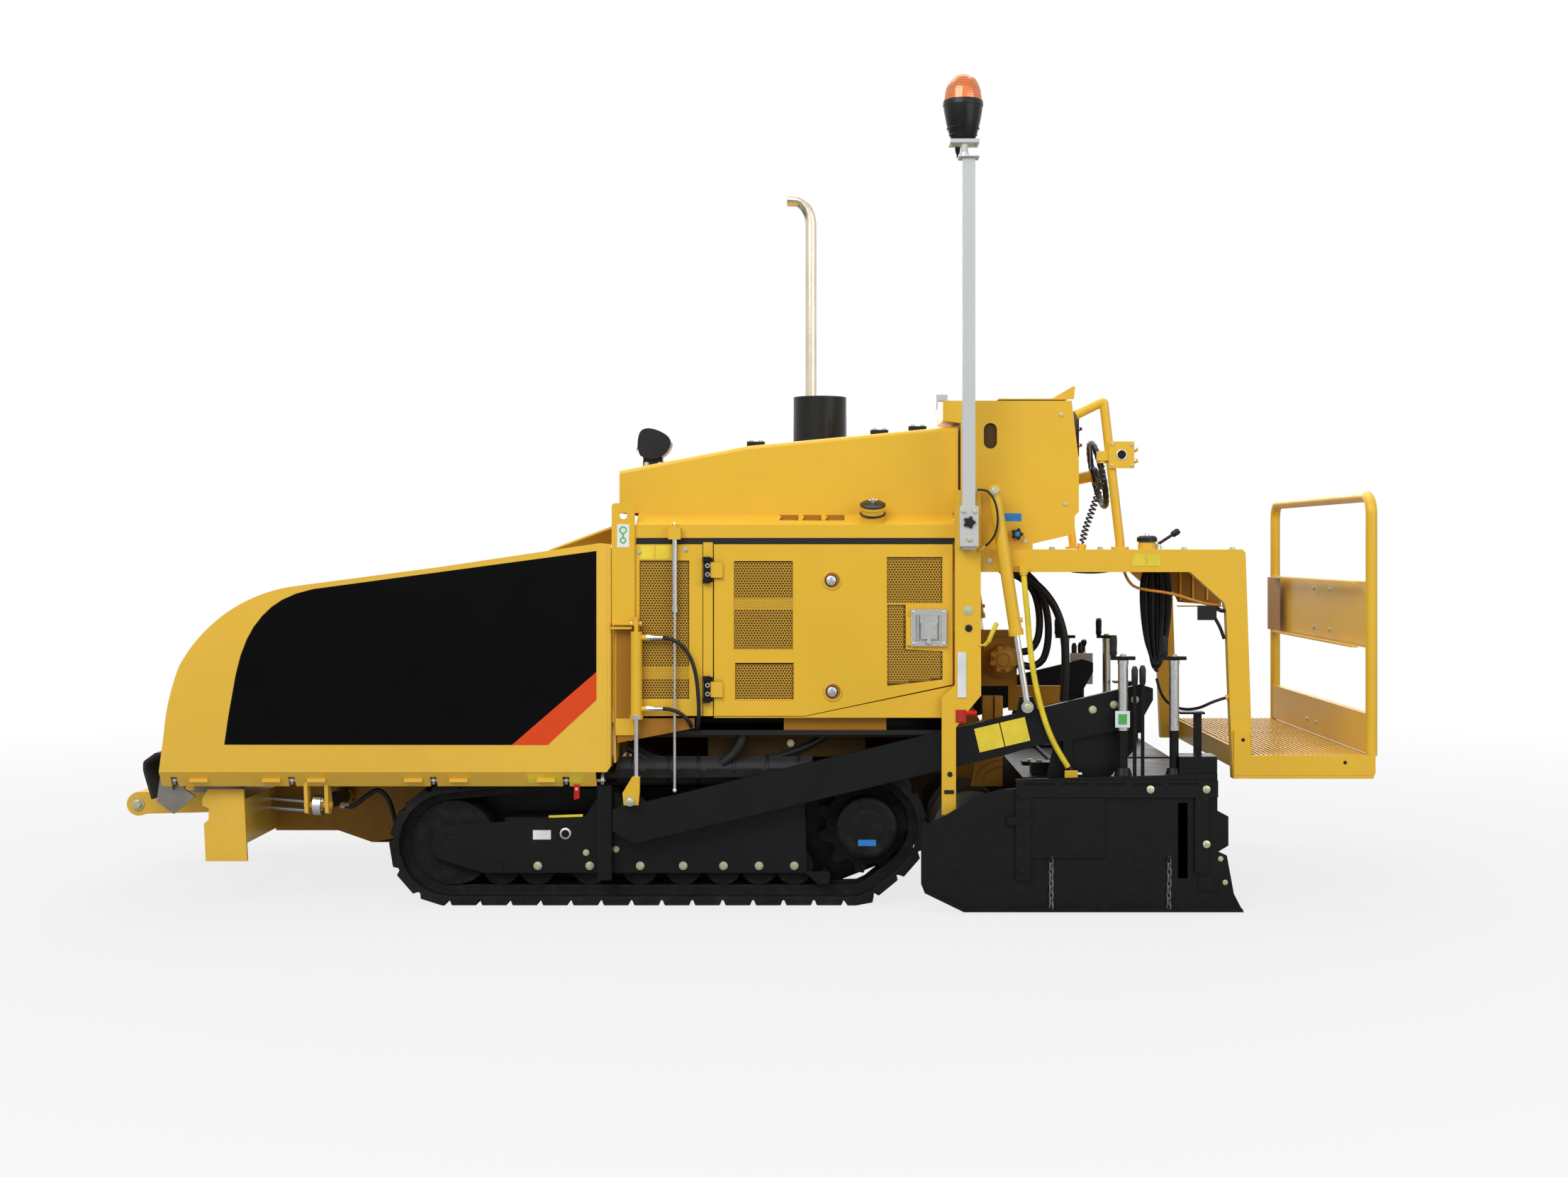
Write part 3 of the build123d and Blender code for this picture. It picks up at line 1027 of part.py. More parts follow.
def extension():
    low = -GATE_OUTER_Y + GATE_PLATE
    body = box(SCREED_SPLIT_X + 2, SCREED_REAR_X, low, -26, 0, EXTENSION_TOP_Z)
    body -= box(SCREED_SPLIT_X + 14, SCREED_REAR_X - 12, low - 1, -38, 24, EXTENSION_TOP_Z - 20)
    for z in (160, 320):
        body += rod_y(SCREED_ROD_X, z, 34, -120, -38)
        body -= rod_y(SCREED_ROD_X, z, SCREED_ROD_RADIUS + HINGE_FIT, -130, -10)
    return body + crank_posts()


def end_gate():
    outline = [(618, 281), (618, 93), (629, 66), (757, 4), (1671, 4), (1641, 62), (1618, 187), (1590, 200),
               (1623, 220), (1623, 315), (1587, 334), (1587, 455), (927, 436), (927, 406), (875, 402), (798, 379),
               (693, 315)]
    gate = plate_y(outline, -GATE_OUTER_Y, -GATE_OUTER_Y + GATE_PLATE)
    gate -= box(1458, 1490, -GATE_OUTER_Y - 5, -GATE_OUTER_Y + GATE_PLATE + 5, 112, 360)
    proud = -GATE_OUTER_Y - GATE_RIB
    skid = plate_y([(629, 66), (757, 4), (1671, 4), (1666, 16), (760, 16), (634, 78)], proud, -GATE_OUTER_Y)
    gate += skid
    for x0, x1, z0, z1 in ((927, 976, 108, 434), (976, 1587, 379, 434), (1512, 1556, 133, 379)):
        gate += box(x0, x1, proud, -GATE_OUTER_Y, z0, z1)
    for index in range(5):
        x = 955 + index * 118
        gate -= box(x, x + 92, proud - 1, proud + 6, 418, 426)
    gate += plate_y([(976, 180), (1217, 180), (1217, 379), (976, 379)], -GATE_OUTER_Y - 6, -GATE_OUTER_Y)
    gate += box(1524, 1588, -GATE_OUTER_Y - 4, -GATE_OUTER_Y, 72, 118)
    for x in (1042, 1427):
        gate += rod_y(x, 176, 9, proud, -GATE_OUTER_Y)
    return gate


def crank_posts():
    posts = None
    for x in (1285, 1453):
        post = rod_z(x, -740, 15, EXTENSION_TOP_Z, 824) + box(x - 24, x + 24, -766, -716, EXTENSION_TOP_Z, 444)
        post += box(x - 40, x + 40, -748, -732, 824, 836) + rod_z(x - 32, -740, 9, 836, 905)
        posts = post if posts is None else posts + post
    return posts


def control_box():
    # box with its lever on a post of its own, between the right extension's crank posts
    y = GATE_OUTER_Y - 31
    shape = box(CONTROL_X - 40, CONTROL_X + 40, y - 30, y + 30, CONTROL_LOW_Z, CONTROL_LOW_Z + 118)
    shape += rod_z(CONTROL_X, y, 13, EXTENSION_TOP_Z, CONTROL_LOW_Z)
    shape += rod_z(CONTROL_X + 12, y, 6, CONTROL_LOW_Z + 118, CONTROL_LOW_Z + 172)
    return shape


def lift_line():
    top = Vector(LIFT_TOP_X, -LIFT_Y, LIFT_TOP_Z)
    eye = Vector(LIFT_EYE_X, -LIFT_Y, LIFT_EYE_Z)
    return top, eye, (eye - top).normalized()


def lift_barrel():
    top, eye, way = lift_line()
    barrel = extrude(Plane(origin=top + way * 12, z_dir=way) * Circle(LIFT_BARREL_RADIUS), LIFT_BARREL_LENGTH)
    nut = Plane(origin=top + way * (12 + LIFT_BARREL_LENGTH - 22), z_dir=way) * Circle(LIFT_BARREL_RADIUS + 4)
    barrel += extrude(nut, 22)
    barrel += rod_y(top.X, top.Z, 20, -LIFT_Y - 11, -LIFT_Y + 11)
    port = top + way * (LIFT_BARREL_LENGTH - 40)
    barrel += rod_x(port.Y, port.Z, 8, port.X, port.X + LIFT_BARREL_RADIUS + 8)
    barrel -= rod_y(top.X, top.Z, LIFT_PIN_RADIUS + HINGE_FIT, -LIFT_Y - 30, -LIFT_Y + 30)
    bore = Plane(origin=top + way * 70, z_dir=way) * Circle(LIFT_ROD_RADIUS + HINGE_FIT)
    return barrel - extrude(bore, LIFT_BARREL_LENGTH)


def lift_rod():
    top, eye, way = lift_line()
    start = top + way * 240
    rod = extrude(Plane(origin=start, z_dir=way) * Circle(LIFT_ROD_RADIUS), (eye - start).length)
    rod += rod_y(eye.X, eye.Z, 20, -LIFT_Y - 11, -LIFT_Y + 11)
    return rod - rod_y(eye.X, eye.Z, LIFT_EYE_PIN_RADIUS + LIFT_PIN_PLAY, -LIFT_Y - 30, -LIFT_Y + 30)


def lift_bracket():
    bracket = rod_y(LIFT_TOP_X, LIFT_TOP_Z, LIFT_PIN_RADIUS, -LIFT_Y - 24, -LIFT_Y + 26)
    bracket += box(812, 822, -POST_OUTER_Y + POST_PLATE, -LIFT_Y + 36, 1300, 1384)
    bracket += plate_y([(818, 1384), (818, 1300), (846, 1330), (884, 1366), (884, 1400), (850, 1404)],
                       -LIFT_Y + 24, -LIFT_Y + 36)
    return bracket


def tow_cylinder():
    # barrel under a tab that a cross pin holds to the lifting plate's foot, with two ports and the rod's fork
    x = TOW_CYL_X
    y = -TOW_CYL_Y
    cylinder = rod_z(x, y, TOW_CYL_RADIUS, TOW_CYL_BOTTOM_Z, TOW_CYL_TOP_Z)
    cylinder += rod_z(x, y, TOW_CYL_RADIUS + 3, TOW_CYL_BOTTOM_Z, TOW_CYL_BOTTOM_Z + 14)
    cylinder += box(x - 6, x + 6, y - 15, y + 10, TOW_CYL_TOP_Z, TOW_CYL_TOP_Z + 48)
    cylinder += box(x - 80, x + 4, y - 10, -BODY_HALF - LIFTING_PLATE, TOW_CYL_TOP_Z + 22, TOW_CYL_TOP_Z + 30)
    cylinder += rod_x(y, TOW_CYL_TOP_Z + 26, 8, x - 14, x + 18)
    for z in (TOW_CYL_TOP_Z - 20, TOW_CYL_BOTTOM_Z + 34):
        cylinder += rod_x(y, z, 9, x, x + TOW_CYL_RADIUS + 14)
    cylinder += rod_z(x, y, 8, TOW_PIN_Z + 60, TOW_CYL_BOTTOM_Z)
    cylinder += plate_y([(x - 12, 440), (x + 12, 440), (TOW_X + 30, 385), (TOW_X + 26, 345), (TOW_X - 22, 345),
                         (TOW_X - 26, 385)], y - 12, y + 12)
    cylinder += rod_y(TOW_X, TOW_PIN_Z, TOW_PIN_RADIUS, y - 20, -ARM_INNER_Y + 8)
    return cylinder


def height_indicator():
    # thin rod in a sleeve, clamped to the rail, with a ball end beside the left tow arm
    clamp_z = (RAIL_BOTTOM_Z + RAIL_FACE_Z) / 2
    y = -BODY_HALF - 18
    shape = box(INDICATOR_X - 20, INDICATOR_X + 20, y - 10, -BODY_HALF, clamp_z - 20, clamp_z + 20)
    shape += rod_z(INDICATOR_X, y, 9, INDICATOR_SLEEVE_Z, clamp_z + 30)
    shape += rod_z(INDICATOR_X, y, 5, INDICATOR_BALL_Z, INDICATOR_SLEEVE_Z)
    return shape + Pos(INDICATOR_X, y, INDICATOR_BALL_Z) * Sphere(8)


def lifting_plate():
    outer = -BODY_HALF - LIFTING_PLATE
    plate = plate_y([(-402, 932), (-402, 1341), (-326, 1341), (-326, 932)], outer, -BODY_HALF, radius=12)
    return plate - rod_y(LIFTING_HOLE_X, LIFTING_HOLE_Z, LIFTING_HOLE_RADIUS, outer - 5, -BODY_HALF + 5)


def cable_hank():
    # the hank's turns as one closed ring, hung on its hook
    straight = HANK_TOP_Z - HANK_BOTTOM_Z - 2 * HANK_HALF
    middle = (HANK_TOP_Z + HANK_BOTTOM_Z) / 2
    left = HANK_X - HANK_HALF
    right = HANK_X + HANK_HALF
    high = middle + straight / 2
    low = middle - straight / 2
    y = -HANK_Y
    ring = None
    for x in (left, right):
        run = rod_between((x, y, low), (x, y, high), HANK_RADIUS)
        ring = run if ring is None else ring + run
    for z, sign in ((high, 1), (low, -1)):
        bend = ThreePointArc((left, y, z), (HANK_X, y, z + sign * HANK_HALF), (right, y, z))
        ring += sweep(Plane(origin=bend @ 0, z_dir=bend % 0) * Circle(HANK_RADIUS), path=bend)
    return ring


def hank_hook():
    # bent rod under the deck that the hank hangs on
    z = HANK_TOP_Z - HANK_RADIUS - HANK_HOOK_RADIUS - WHEEL_GAP
    hook = rod_y(HANK_X, z, HANK_HOOK_RADIUS, -HANK_Y - 28, -HANK_Y + 30)
    hook += rod_z(HANK_X, -HANK_Y + 30, HANK_HOOK_RADIUS, z - HANK_HOOK_RADIUS, DECK_TOP_Z - DECK_PLATE)
    return hook


def cord_ends():
    # glands on the deck: lead on the leg, curly cord on the deck top, sleeve hose and hydraulic hoses on the beam
    ends = gland(LEAD_ROUTE[0], LEAD_ROUTE[1], 9, 26)
    ends += gland(CURLY_ROUTE[-1], CURLY_ROUTE[-2], 15, 24)
    first = SLEEVE_ROUTE[0]
    ends += gland(first, SLEEVE_ROUTE[1], 13, 12)
    ends += box(first[0] - 14, first[0] + 14, first[1] - 13, -DECK_HALF, first[2] + 8, first[2] + 30)
    for y in HYDRAULIC_YS:
        (x0, z0), (x1, z1) = HYDRAULIC_ROUTE[:2]
        ends += gland((x0, y, z0), (x1, y, z1), 13, 10)
    return ends


def valve_block():
    # block that the two hoses screw into, on a bracket from the body's rear wall
    (x0, z0), (x1, z1) = HYDRAULIC_ROUTE[-2:]
    block = box(x1 - 32, x1 + 32, -445, -370, z1 - 60, z1 - 8)
    for y in HYDRAULIC_YS:
        block += gland((x1, y, z1), (x0, y, z0), 13, 14)
    block += box(x1 - 20, x1 + 20, -370, -196, z1 - 44, z1 - 16)
    block += box(960, x1 + 20, -212, -196, z1 - 44, 700.5)
    return block


def main():
    os.makedirs("parts", exist_ok=True)
    left_track = track()
    save("track_left", left_track)
    save("track_right", other_side(left_track))
    save("track_rollers", both(track_rollers()))
    save("track_frames", both(track_frame()))
    save("final_drives", both(final_drive()))
    save("main_frame", main_frame() + both(wing_cylinder_brackets()))
    save("front_beam", front_beam())
    roller = push_roller()
    save("push_roller_left", roller)
    save("push_roller_right", other_side(roller))
    save("hopper_floor", hopper_floor())
    left_wing = wing()
    save("wing_left", left_wing)
    save("wing_right", other_side(left_wing))
    save("wing_barrel_left", wing_barrel())
    save("wing_barrel_right", other_side(wing_barrel()))
    save("wing_rod_left", wing_rod())
    save("wing_rod_right", other_side(wing_rod()))
    save("hopper_bulkhead", bulkhead())
    save("front_apron", front_apron())
    save("conveyor", conveyor())
    save("auger_left", augers())
    save("auger_right", other_side(augers()))
    case, motor = auger_carrier()
    save("auger_case", case)
    save("conveyor_motor", motor + valve_block())
    save("body_shell", body_shell() + both(door_hinge_pins()))
    save("mesh_panels", both(mesh_panel()))
    save("door_left", door())
    save("door_right", other_side(door()))
    save("hood", hood())
    save("lamps", work_light() + horn())
    save("engine_block", box(-180, 480, -260, 260, ENGINE_DECK_Z + ENGINE_DECK_PLATE, 1180))
    post = both(rear_post() + lift_bracket()) + gland(MAST_CABLE_ROUTE[-1], MAST_CABLE_ROUTE[-2], 6, 26)
    save("rear_posts", post)
    save("deck", deck() + hank_hook() + cord_ends())
    save("cable_hank", cable_hank())
    save("hank_lead", cord("hank_lead", LEAD_ROUTE, LEAD_RADIUS))
    save("curly_cord", cord("curly_cord", CURLY_ROUTE, CURLY_RADIUS))
    save("sleeve_hose", cord("sleeve_hose", SLEEVE_ROUTE, SLEEVE_RADIUS))
    save("mast_cable", cord("mast_cable", MAST_CABLE_ROUTE, MAST_CABLE_RADIUS))
    for name, y in zip(("hydraulic_hose_inner", "hydraulic_hose_outer"), HYDRAULIC_YS):
        route = [(x, y, z) for x, z in HYDRAULIC_ROUTE]
        save(name, cord(name, route, HYDRAULIC_RADIUS))
    save("platform", platform())
    save("guard_rail", guard_rail())
    save("console", console())
    save("handrails", both(handrail()) + socket_box())
    save("steering_wheel", steering_wheel())
    save("mast", mast())
    save("beacon", beacon())
    save("muffler_shroud", muffler_shroud())
    save("exhaust_pipe", exhaust_pipe())
    save("tow_arms", both(tow_arm()))
    save("screed", screed())
    save("extension_left", extension())
    save("extension_right", other_side(extension()) + control_box())
    save("end_gate_left", end_gate())
    save("end_gate_right", other_side(end_gate()))
    save("lift_barrel_left", lift_barrel())
    save("lift_barrel_right", other_side(lift_barrel()))
    save("lift_rod_left", lift_rod())
    save("lift_rod_right", other_side(lift_rod()))
    save("tow_cylinders", both(tow_cylinder()) + height_indicator())
    save("lifting_plates", both(lifting_plate()))


main()
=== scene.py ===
import json
import math
import bmesh
import bpy
from mathutils import Matrix, Vector

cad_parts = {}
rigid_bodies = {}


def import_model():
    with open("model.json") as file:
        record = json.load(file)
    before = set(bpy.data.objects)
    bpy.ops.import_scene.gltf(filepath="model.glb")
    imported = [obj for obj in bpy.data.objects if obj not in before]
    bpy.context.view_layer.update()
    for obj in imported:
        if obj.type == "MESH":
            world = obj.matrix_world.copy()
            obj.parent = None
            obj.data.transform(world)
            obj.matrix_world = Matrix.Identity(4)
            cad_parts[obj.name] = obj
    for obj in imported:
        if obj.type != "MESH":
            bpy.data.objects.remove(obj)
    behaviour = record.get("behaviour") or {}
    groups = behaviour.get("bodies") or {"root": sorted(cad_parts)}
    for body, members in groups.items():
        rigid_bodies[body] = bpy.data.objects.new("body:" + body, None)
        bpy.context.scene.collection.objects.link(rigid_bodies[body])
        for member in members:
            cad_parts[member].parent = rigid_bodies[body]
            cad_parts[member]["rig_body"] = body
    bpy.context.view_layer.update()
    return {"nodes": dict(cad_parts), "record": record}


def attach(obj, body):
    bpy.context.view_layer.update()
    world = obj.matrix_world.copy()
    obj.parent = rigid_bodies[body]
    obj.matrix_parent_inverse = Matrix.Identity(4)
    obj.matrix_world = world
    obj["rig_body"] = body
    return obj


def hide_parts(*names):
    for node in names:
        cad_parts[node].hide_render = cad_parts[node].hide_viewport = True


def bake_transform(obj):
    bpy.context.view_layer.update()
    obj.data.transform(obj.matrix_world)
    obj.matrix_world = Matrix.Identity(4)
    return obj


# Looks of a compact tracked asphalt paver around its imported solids.
# Metres. The front is -X, the machine's left side is -Y, +Z is up and the ground is Z 0.

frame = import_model()

# Photograph's viewpoint
CAMERA_PLACE = (0.290, -7.0, 1.202)
CAMERA_LENS = 43.65
CAMERA_SHIFT = (-0.0235, -0.0276)

# Colours as linear values
YELLOW = (0.80, 0.475, 0.030)
HOPPER_YELLOW = (0.83, 0.500, 0.050)
# painted shade: body yellow as it looks in shade
PAINTED_SHADE_YELLOW = (0.50, 0.27, 0.045)
BLACK = (0.0065, 0.0072, 0.0070)
SOFT_BLACK = (0.018, 0.018, 0.018)
DECAL_BLACK = (0.002, 0.002, 0.0025)
STRIPE = (0.74, 0.070, 0.014)
GREY = (0.56, 0.58, 0.56)
SILVER = (0.62, 0.62, 0.61)
LABEL_YELLOW = (0.80, 0.62, 0.05)
SLEEVE_YELLOW = (0.80, 0.62, 0.04)
GREENISH = (0.62, 0.66, 0.48)
RED = (0.60, 0.015, 0.012)
WHITE = (0.80, 0.80, 0.80)
BLUE = (0.03, 0.22, 0.60)


# Camera, light and floor


def set_camera():
    data = bpy.data.cameras.new("camera")
    data.sensor_width = 36
    data.lens = CAMERA_LENS
    data.shift_x, data.shift_y = CAMERA_SHIFT
    data.clip_end = 200
    camera = bpy.data.objects.new("camera", data)
    camera.location = CAMERA_PLACE
    camera.rotation_euler = (math.pi / 2, 0, 0)
    bpy.context.scene.collection.objects.link(camera)
    bpy.context.scene.camera = camera
    bpy.context.scene.view_settings.view_transform = "Standard"


def area_light(name, place, target, size, energy):
    data = bpy.data.lights.new(name, "AREA")
    data.shape = "RECTANGLE"
    data.size, data.size_y = size
    data.energy = energy
    light = bpy.data.objects.new(name, data)
    light.location = place
    light.rotation_euler = (Vector(target) - Vector(place)).to_track_quat("-Z", "Y").to_euler()
    bpy.context.scene.collection.objects.link(light)


def set_lights():
    area_light("key", (-2.5, -6.0, 5.5), (0, 0, 0.9), (5.0, 4.0), 340)
    area_light("fill", (4.5, -5.0, 3.0), (0, 0, 0.8), (4.0, 4.0), 110)
    area_light("top", (0, 1.5, 6.5), (0, 0, 0.9), (7.0, 5.0), 300)
    area_light("back", (1.0, 7.0, 4.0), (0, 0, 0.9), (6.0, 4.0), 190)


def set_world():
    world = bpy.data.worlds.new("studio")
    bpy.context.scene.world = world
    world.use_nodes = True
    nodes = world.node_tree.nodes
    links = world.node_tree.links
    nodes.clear()
    path = nodes.new("ShaderNodeLightPath")
    seen = nodes.new("ShaderNodeMath")
    seen.operation = "MAXIMUM"
    links.new(path.outputs["Is Camera Ray"], seen.inputs[0])
    links.new(path.outputs["Is Transmission Ray"], seen.inputs[1])
    shown = nodes.new("ShaderNodeMath")
    shown.operation = "MAXIMUM"
    links.new(seen.outputs[0], shown.inputs[0])
    links.new(path.outputs["Is Glossy Ray"], shown.inputs[1])
    backdrop = nodes.new("ShaderNodeBackground")
    backdrop.inputs["Color"].default_value = (1, 1, 1, 1)
    ambient = nodes.new("ShaderNodeBackground")
    ambient.inputs["Color"].default_value = (0.93, 0.96, 1, 1)
    ambient.inputs["Strength"].default_value = 0.33
    mix = nodes.new("ShaderNodeMixShader")
    out = nodes.new("ShaderNodeOutputWorld")
    links.new(shown.outputs[0], mix.inputs[0])
    links.new(ambient.outputs[0], mix.inputs[1])
    links.new(backdrop.outputs[0], mix.inputs[2])
    links.new(mix.outputs[0], out.inputs[0])


def floor_material():
    material = bpy.data.materials.new("studio_floor")
    material.use_nodes = True
    nodes = material.node_tree.nodes
    links = material.node_tree.links
    nodes.clear()
    diffuse = nodes.new("ShaderNodeBsdfDiffuse")
    diffuse.inputs["Color"].default_value = (0.42, 0.42, 0.42, 1)
    white = nodes.new("ShaderNodeEmission")
    coord = nodes.new("ShaderNodeTexCoord")
    length = nodes.new("ShaderNodeVectorMath")
    length.operation = "LENGTH"
    links.new(coord.outputs["Object"], length.inputs[0])
    fade = nodes.new("ShaderNodeMapRange")
    fade.inputs["From Min"].default_value = 2.2
    fade.inputs["From Max"].default_value = 7.0
    fade.inputs["To Min"].default_value = 0.80
    fade.inputs["To Max"].default_value = 1.0
    links.new(length.outputs["Value"], fade.inputs["Value"])
    path = nodes.new("ShaderNodeLightPath")
    camera_only = nodes.new("ShaderNodeMath")
    camera_only.operation = "MULTIPLY"
    links.new(fade.outputs["Result"], camera_only.inputs[0])
    links.new(path.outputs["Is Camera Ray"], camera_only.inputs[1])
    mix = nodes.new("ShaderNodeMixShader")
    out = nodes.new("ShaderNodeOutputMaterial")
    links.new(camera_only.outputs[0], mix.inputs[0])
    links.new(diffuse.outputs[0], mix.inputs[1])
    links.new(white.outputs[0], mix.inputs[2])
    links.new(mix.outputs[0], out.inputs[0])
    return material


def set_floor():
    mesh = bpy.data.meshes.new("floor")
    half = 40
    mesh.from_pydata([(-half, -half, 0), (half, -half, 0), (half, half, 0), (-half, half, 0)], [], [(0, 1, 2, 3)])
    floor = bpy.data.objects.new("floor", mesh)
    mesh.materials.append(floor_material())
    floor.location = (0, 0, -0.0005)
    bpy.context.scene.collection.objects.link(floor)


# Materials


def shader(name):
    # a Principled material with its object-space coordinates ready
    material = bpy.data.materials.new(name)
    material.use_nodes = True
    nodes = material.node_tree.nodes
    links = material.node_tree.links
    coord = nodes.new("ShaderNodeTexCoord")
    return material, nodes, links, nodes["Principled BSDF"], coord.outputs["Object"]


def noise(nodes, links, vector, scale, detail=3.0, stretch=None):
    texture = nodes.new("ShaderNodeTexNoise")
    texture.inputs["Scale"].default_value = scale
    texture.inputs["Detail"].default_value = detail
    if stretch:
        mapping = nodes.new("ShaderNodeMapping")
        mapping.inputs["Scale"].default_value = stretch
        links.new(vector, mapping.inputs["Vector"])
        vector = mapping.outputs["Vector"]
    links.new(vector, texture.inputs["Vector"])
    return texture.outputs["Fac"]


def spread(nodes, links, value, low, high, start=0.3, end=0.7):
    ramp = nodes.new("ShaderNodeMapRange")
    ramp.inputs["From Min"].default_value = start
    ramp.inputs["From Max"].default_value = end
    ramp.inputs["To Min"].default_value = low
    ramp.inputs["To Max"].default_value = high
    links.new(value, ramp.inputs["Value"])
    return ramp.outputs["Result"]


def mix_colour(nodes, links, share, first, second):
    mix = nodes.new("ShaderNodeMix")
    mix.data_type = "RGBA"
    for socket, value in ((mix.inputs[6], first), (mix.inputs[7], second)):
        if isinstance(value, tuple):
            socket.default_value = (*value, 1)
        else:
            links.new(value, socket)
    links.new(share, mix.inputs[0])
    return mix.outputs[2]


def bump(nodes, links, bsdf, height, strength, distance):
    node = nodes.new("ShaderNodeBump")
    node.inputs["Strength"].default_value = strength
    node.inputs["Distance"].default_value = distance
    links.new(height, node.inputs["Height"])
    links.new(node.outputs["Normal"], bsdf.inputs["Normal"])


def scaled(colour, factor):
    return tuple(channel * factor for channel in colour)


def paint(name, colour, rough=0.34, dust=0.10, coat=0.2, peel=0.00035, gloss=0.3, dirt=(0.30, 0.27, 0.22)):
    # sprayed paint: faint clouding of its tone, dust that settles low down and orange-peel skin
    material, nodes, links, bsdf, place = shader(name)
    cloud = noise(nodes, links, place, 2.3, 4)
    tone = spread(nodes, links, cloud, 0, 1)
    base = mix_colour(nodes, links, tone, scaled(colour, 0.955), scaled(colour, 1.03))
    split = nodes.new("ShaderNodeSeparateXYZ")
    links.new(place, split.inputs[0])
    low = spread(nodes, links, split.outputs["Z"], 1, 0, 0.0, 0.9)
    speck = spread(nodes, links, noise(nodes, links, place, 38, 6), 0, 1, 0.42, 0.75)
    settled = nodes.new("ShaderNodeMath")
    settled.operation = "MULTIPLY"
    links.new(low, settled.inputs[0])
    links.new(speck, settled.inputs[1])
    amount = spread(nodes, links, settled.outputs[0], 0, dust, 0, 1)
    base = mix_colour(nodes, links, amount, base, dirt)
    links.new(base, bsdf.inputs["Base Color"])
    fine = noise(nodes, links, place, 420, 2)
    links.new(spread(nodes, links, noise(nodes, links, place, 9, 5), rough - 0.05, rough + 0.09),
              bsdf.inputs["Roughness"])
    bump(nodes, links, bsdf, fine, 0.25, peel)
    bsdf.inputs["Specular IOR Level"].default_value = gloss
    bsdf.inputs["Coat Weight"].default_value = coat
    bsdf.inputs["Coat Roughness"].default_value = 0.18
    return material


def steel(name, colour, rough=0.38, metallic=1.0, stretch=(1, 1, 1), grain=60, wear=0.3):
    # bare metal: brushed or rolled grain with darker handled patches
    material, nodes, links, bsdf, place = shader(name)
    patch = noise(nodes, links, place, 7, 5)
    base = mix_colour(nodes, links, spread(nodes, links, patch, 0, 1, 0.35, 0.72), scaled(colour, 1 - wear), colour)
    links.new(base, bsdf.inputs["Base Color"])
    brushed = noise(nodes, links, place, grain, 3, stretch)
    links.new(spread(nodes, links, brushed, rough - 0.04, rough + 0.10), bsdf.inputs["Roughness"])
    bump(nodes, links, bsdf, brushed, 0.15, 0.00008)
    bsdf.inputs["Metallic"].default_value = metallic
    return material


def cast(name, colour, rough=0.62, grit=0.0011, dust=0.2):
    # cast or flame-cut iron with mill scale, grit and pale dust in its hollows
    material, nodes, links, bsdf, place = shader(name)
    grain = noise(nodes, links, place, 160, 5)
    cloud = noise(nodes, links, place, 5, 6)
    base = mix_colour(nodes, links, spread(nodes, links, cloud, 0, 1), scaled(colour, 0.7), scaled(colour, 1.25))
    settled = spread(nodes, links, noise(nodes, links, place, 22, 6), 0, dust, 0.5, 0.8)
    base = mix_colour(nodes, links, settled, base, (0.09, 0.075, 0.058))
    links.new(base, bsdf.inputs["Base Color"])
    links.new(spread(nodes, links, grain, rough - 0.12, rough + 0.15), bsdf.inputs["Roughness"])
    bump(nodes, links, bsdf, grain, 0.45, grit)
    bsdf.inputs["Metallic"].default_value = 0.35
    bsdf.inputs["Specular IOR Level"].default_value = 0.2
    return material


def plastic(name, colour, rough=0.42, grain=0.0002, sheen=0.0, gloss=0.25):
    # moulded plastic or rubber with a fine pebbled skin
    material, nodes, links, bsdf, place = shader(name)
    cloud = noise(nodes, links, place, 12, 4)
    base = mix_colour(nodes, links, spread(nodes, links, cloud, 0, 1), scaled(colour, 0.85), scaled(colour, 1.15))
    links.new(base, bsdf.inputs["Base Color"])
    pebble = noise(nodes, links, place, 620, 2)
    links.new(spread(nodes, links, cloud, rough - 0.06, rough + 0.08), bsdf.inputs["Roughness"])
    bump(nodes, links, bsdf, pebble, 0.35, grain)
    bsdf.inputs["Sheen Weight"].default_value = sheen
    bsdf.inputs["Specular IOR Level"].default_value = gloss
    return material


def lens(name, colour, glow=0.0):
    # clear moulded lens with prism lines inside
    material, nodes, links, bsdf, place = shader(name)
    wave = nodes.new("ShaderNodeTexWave")
    wave.inputs["Scale"].default_value = 38
    wave.bands_direction = "Z"
    links.new(place, wave.inputs["Vector"])
    tone = spread(nodes, links, wave.outputs["Fac"], 0, 1, 0.2, 0.8)
    links.new(mix_colour(nodes, links, tone, scaled(colour, 0.72), scaled(colour, 1.0)), bsdf.inputs["Base Color"])
    bsdf.inputs["Roughness"].default_value = 0.08
    bsdf.inputs["Transmission Weight"].default_value = 0.35
    bsdf.inputs["Coat Weight"].default_value = 0.8
    bump(nodes, links, bsdf, wave.outputs["Fac"], 0.2, 0.001)
    return material


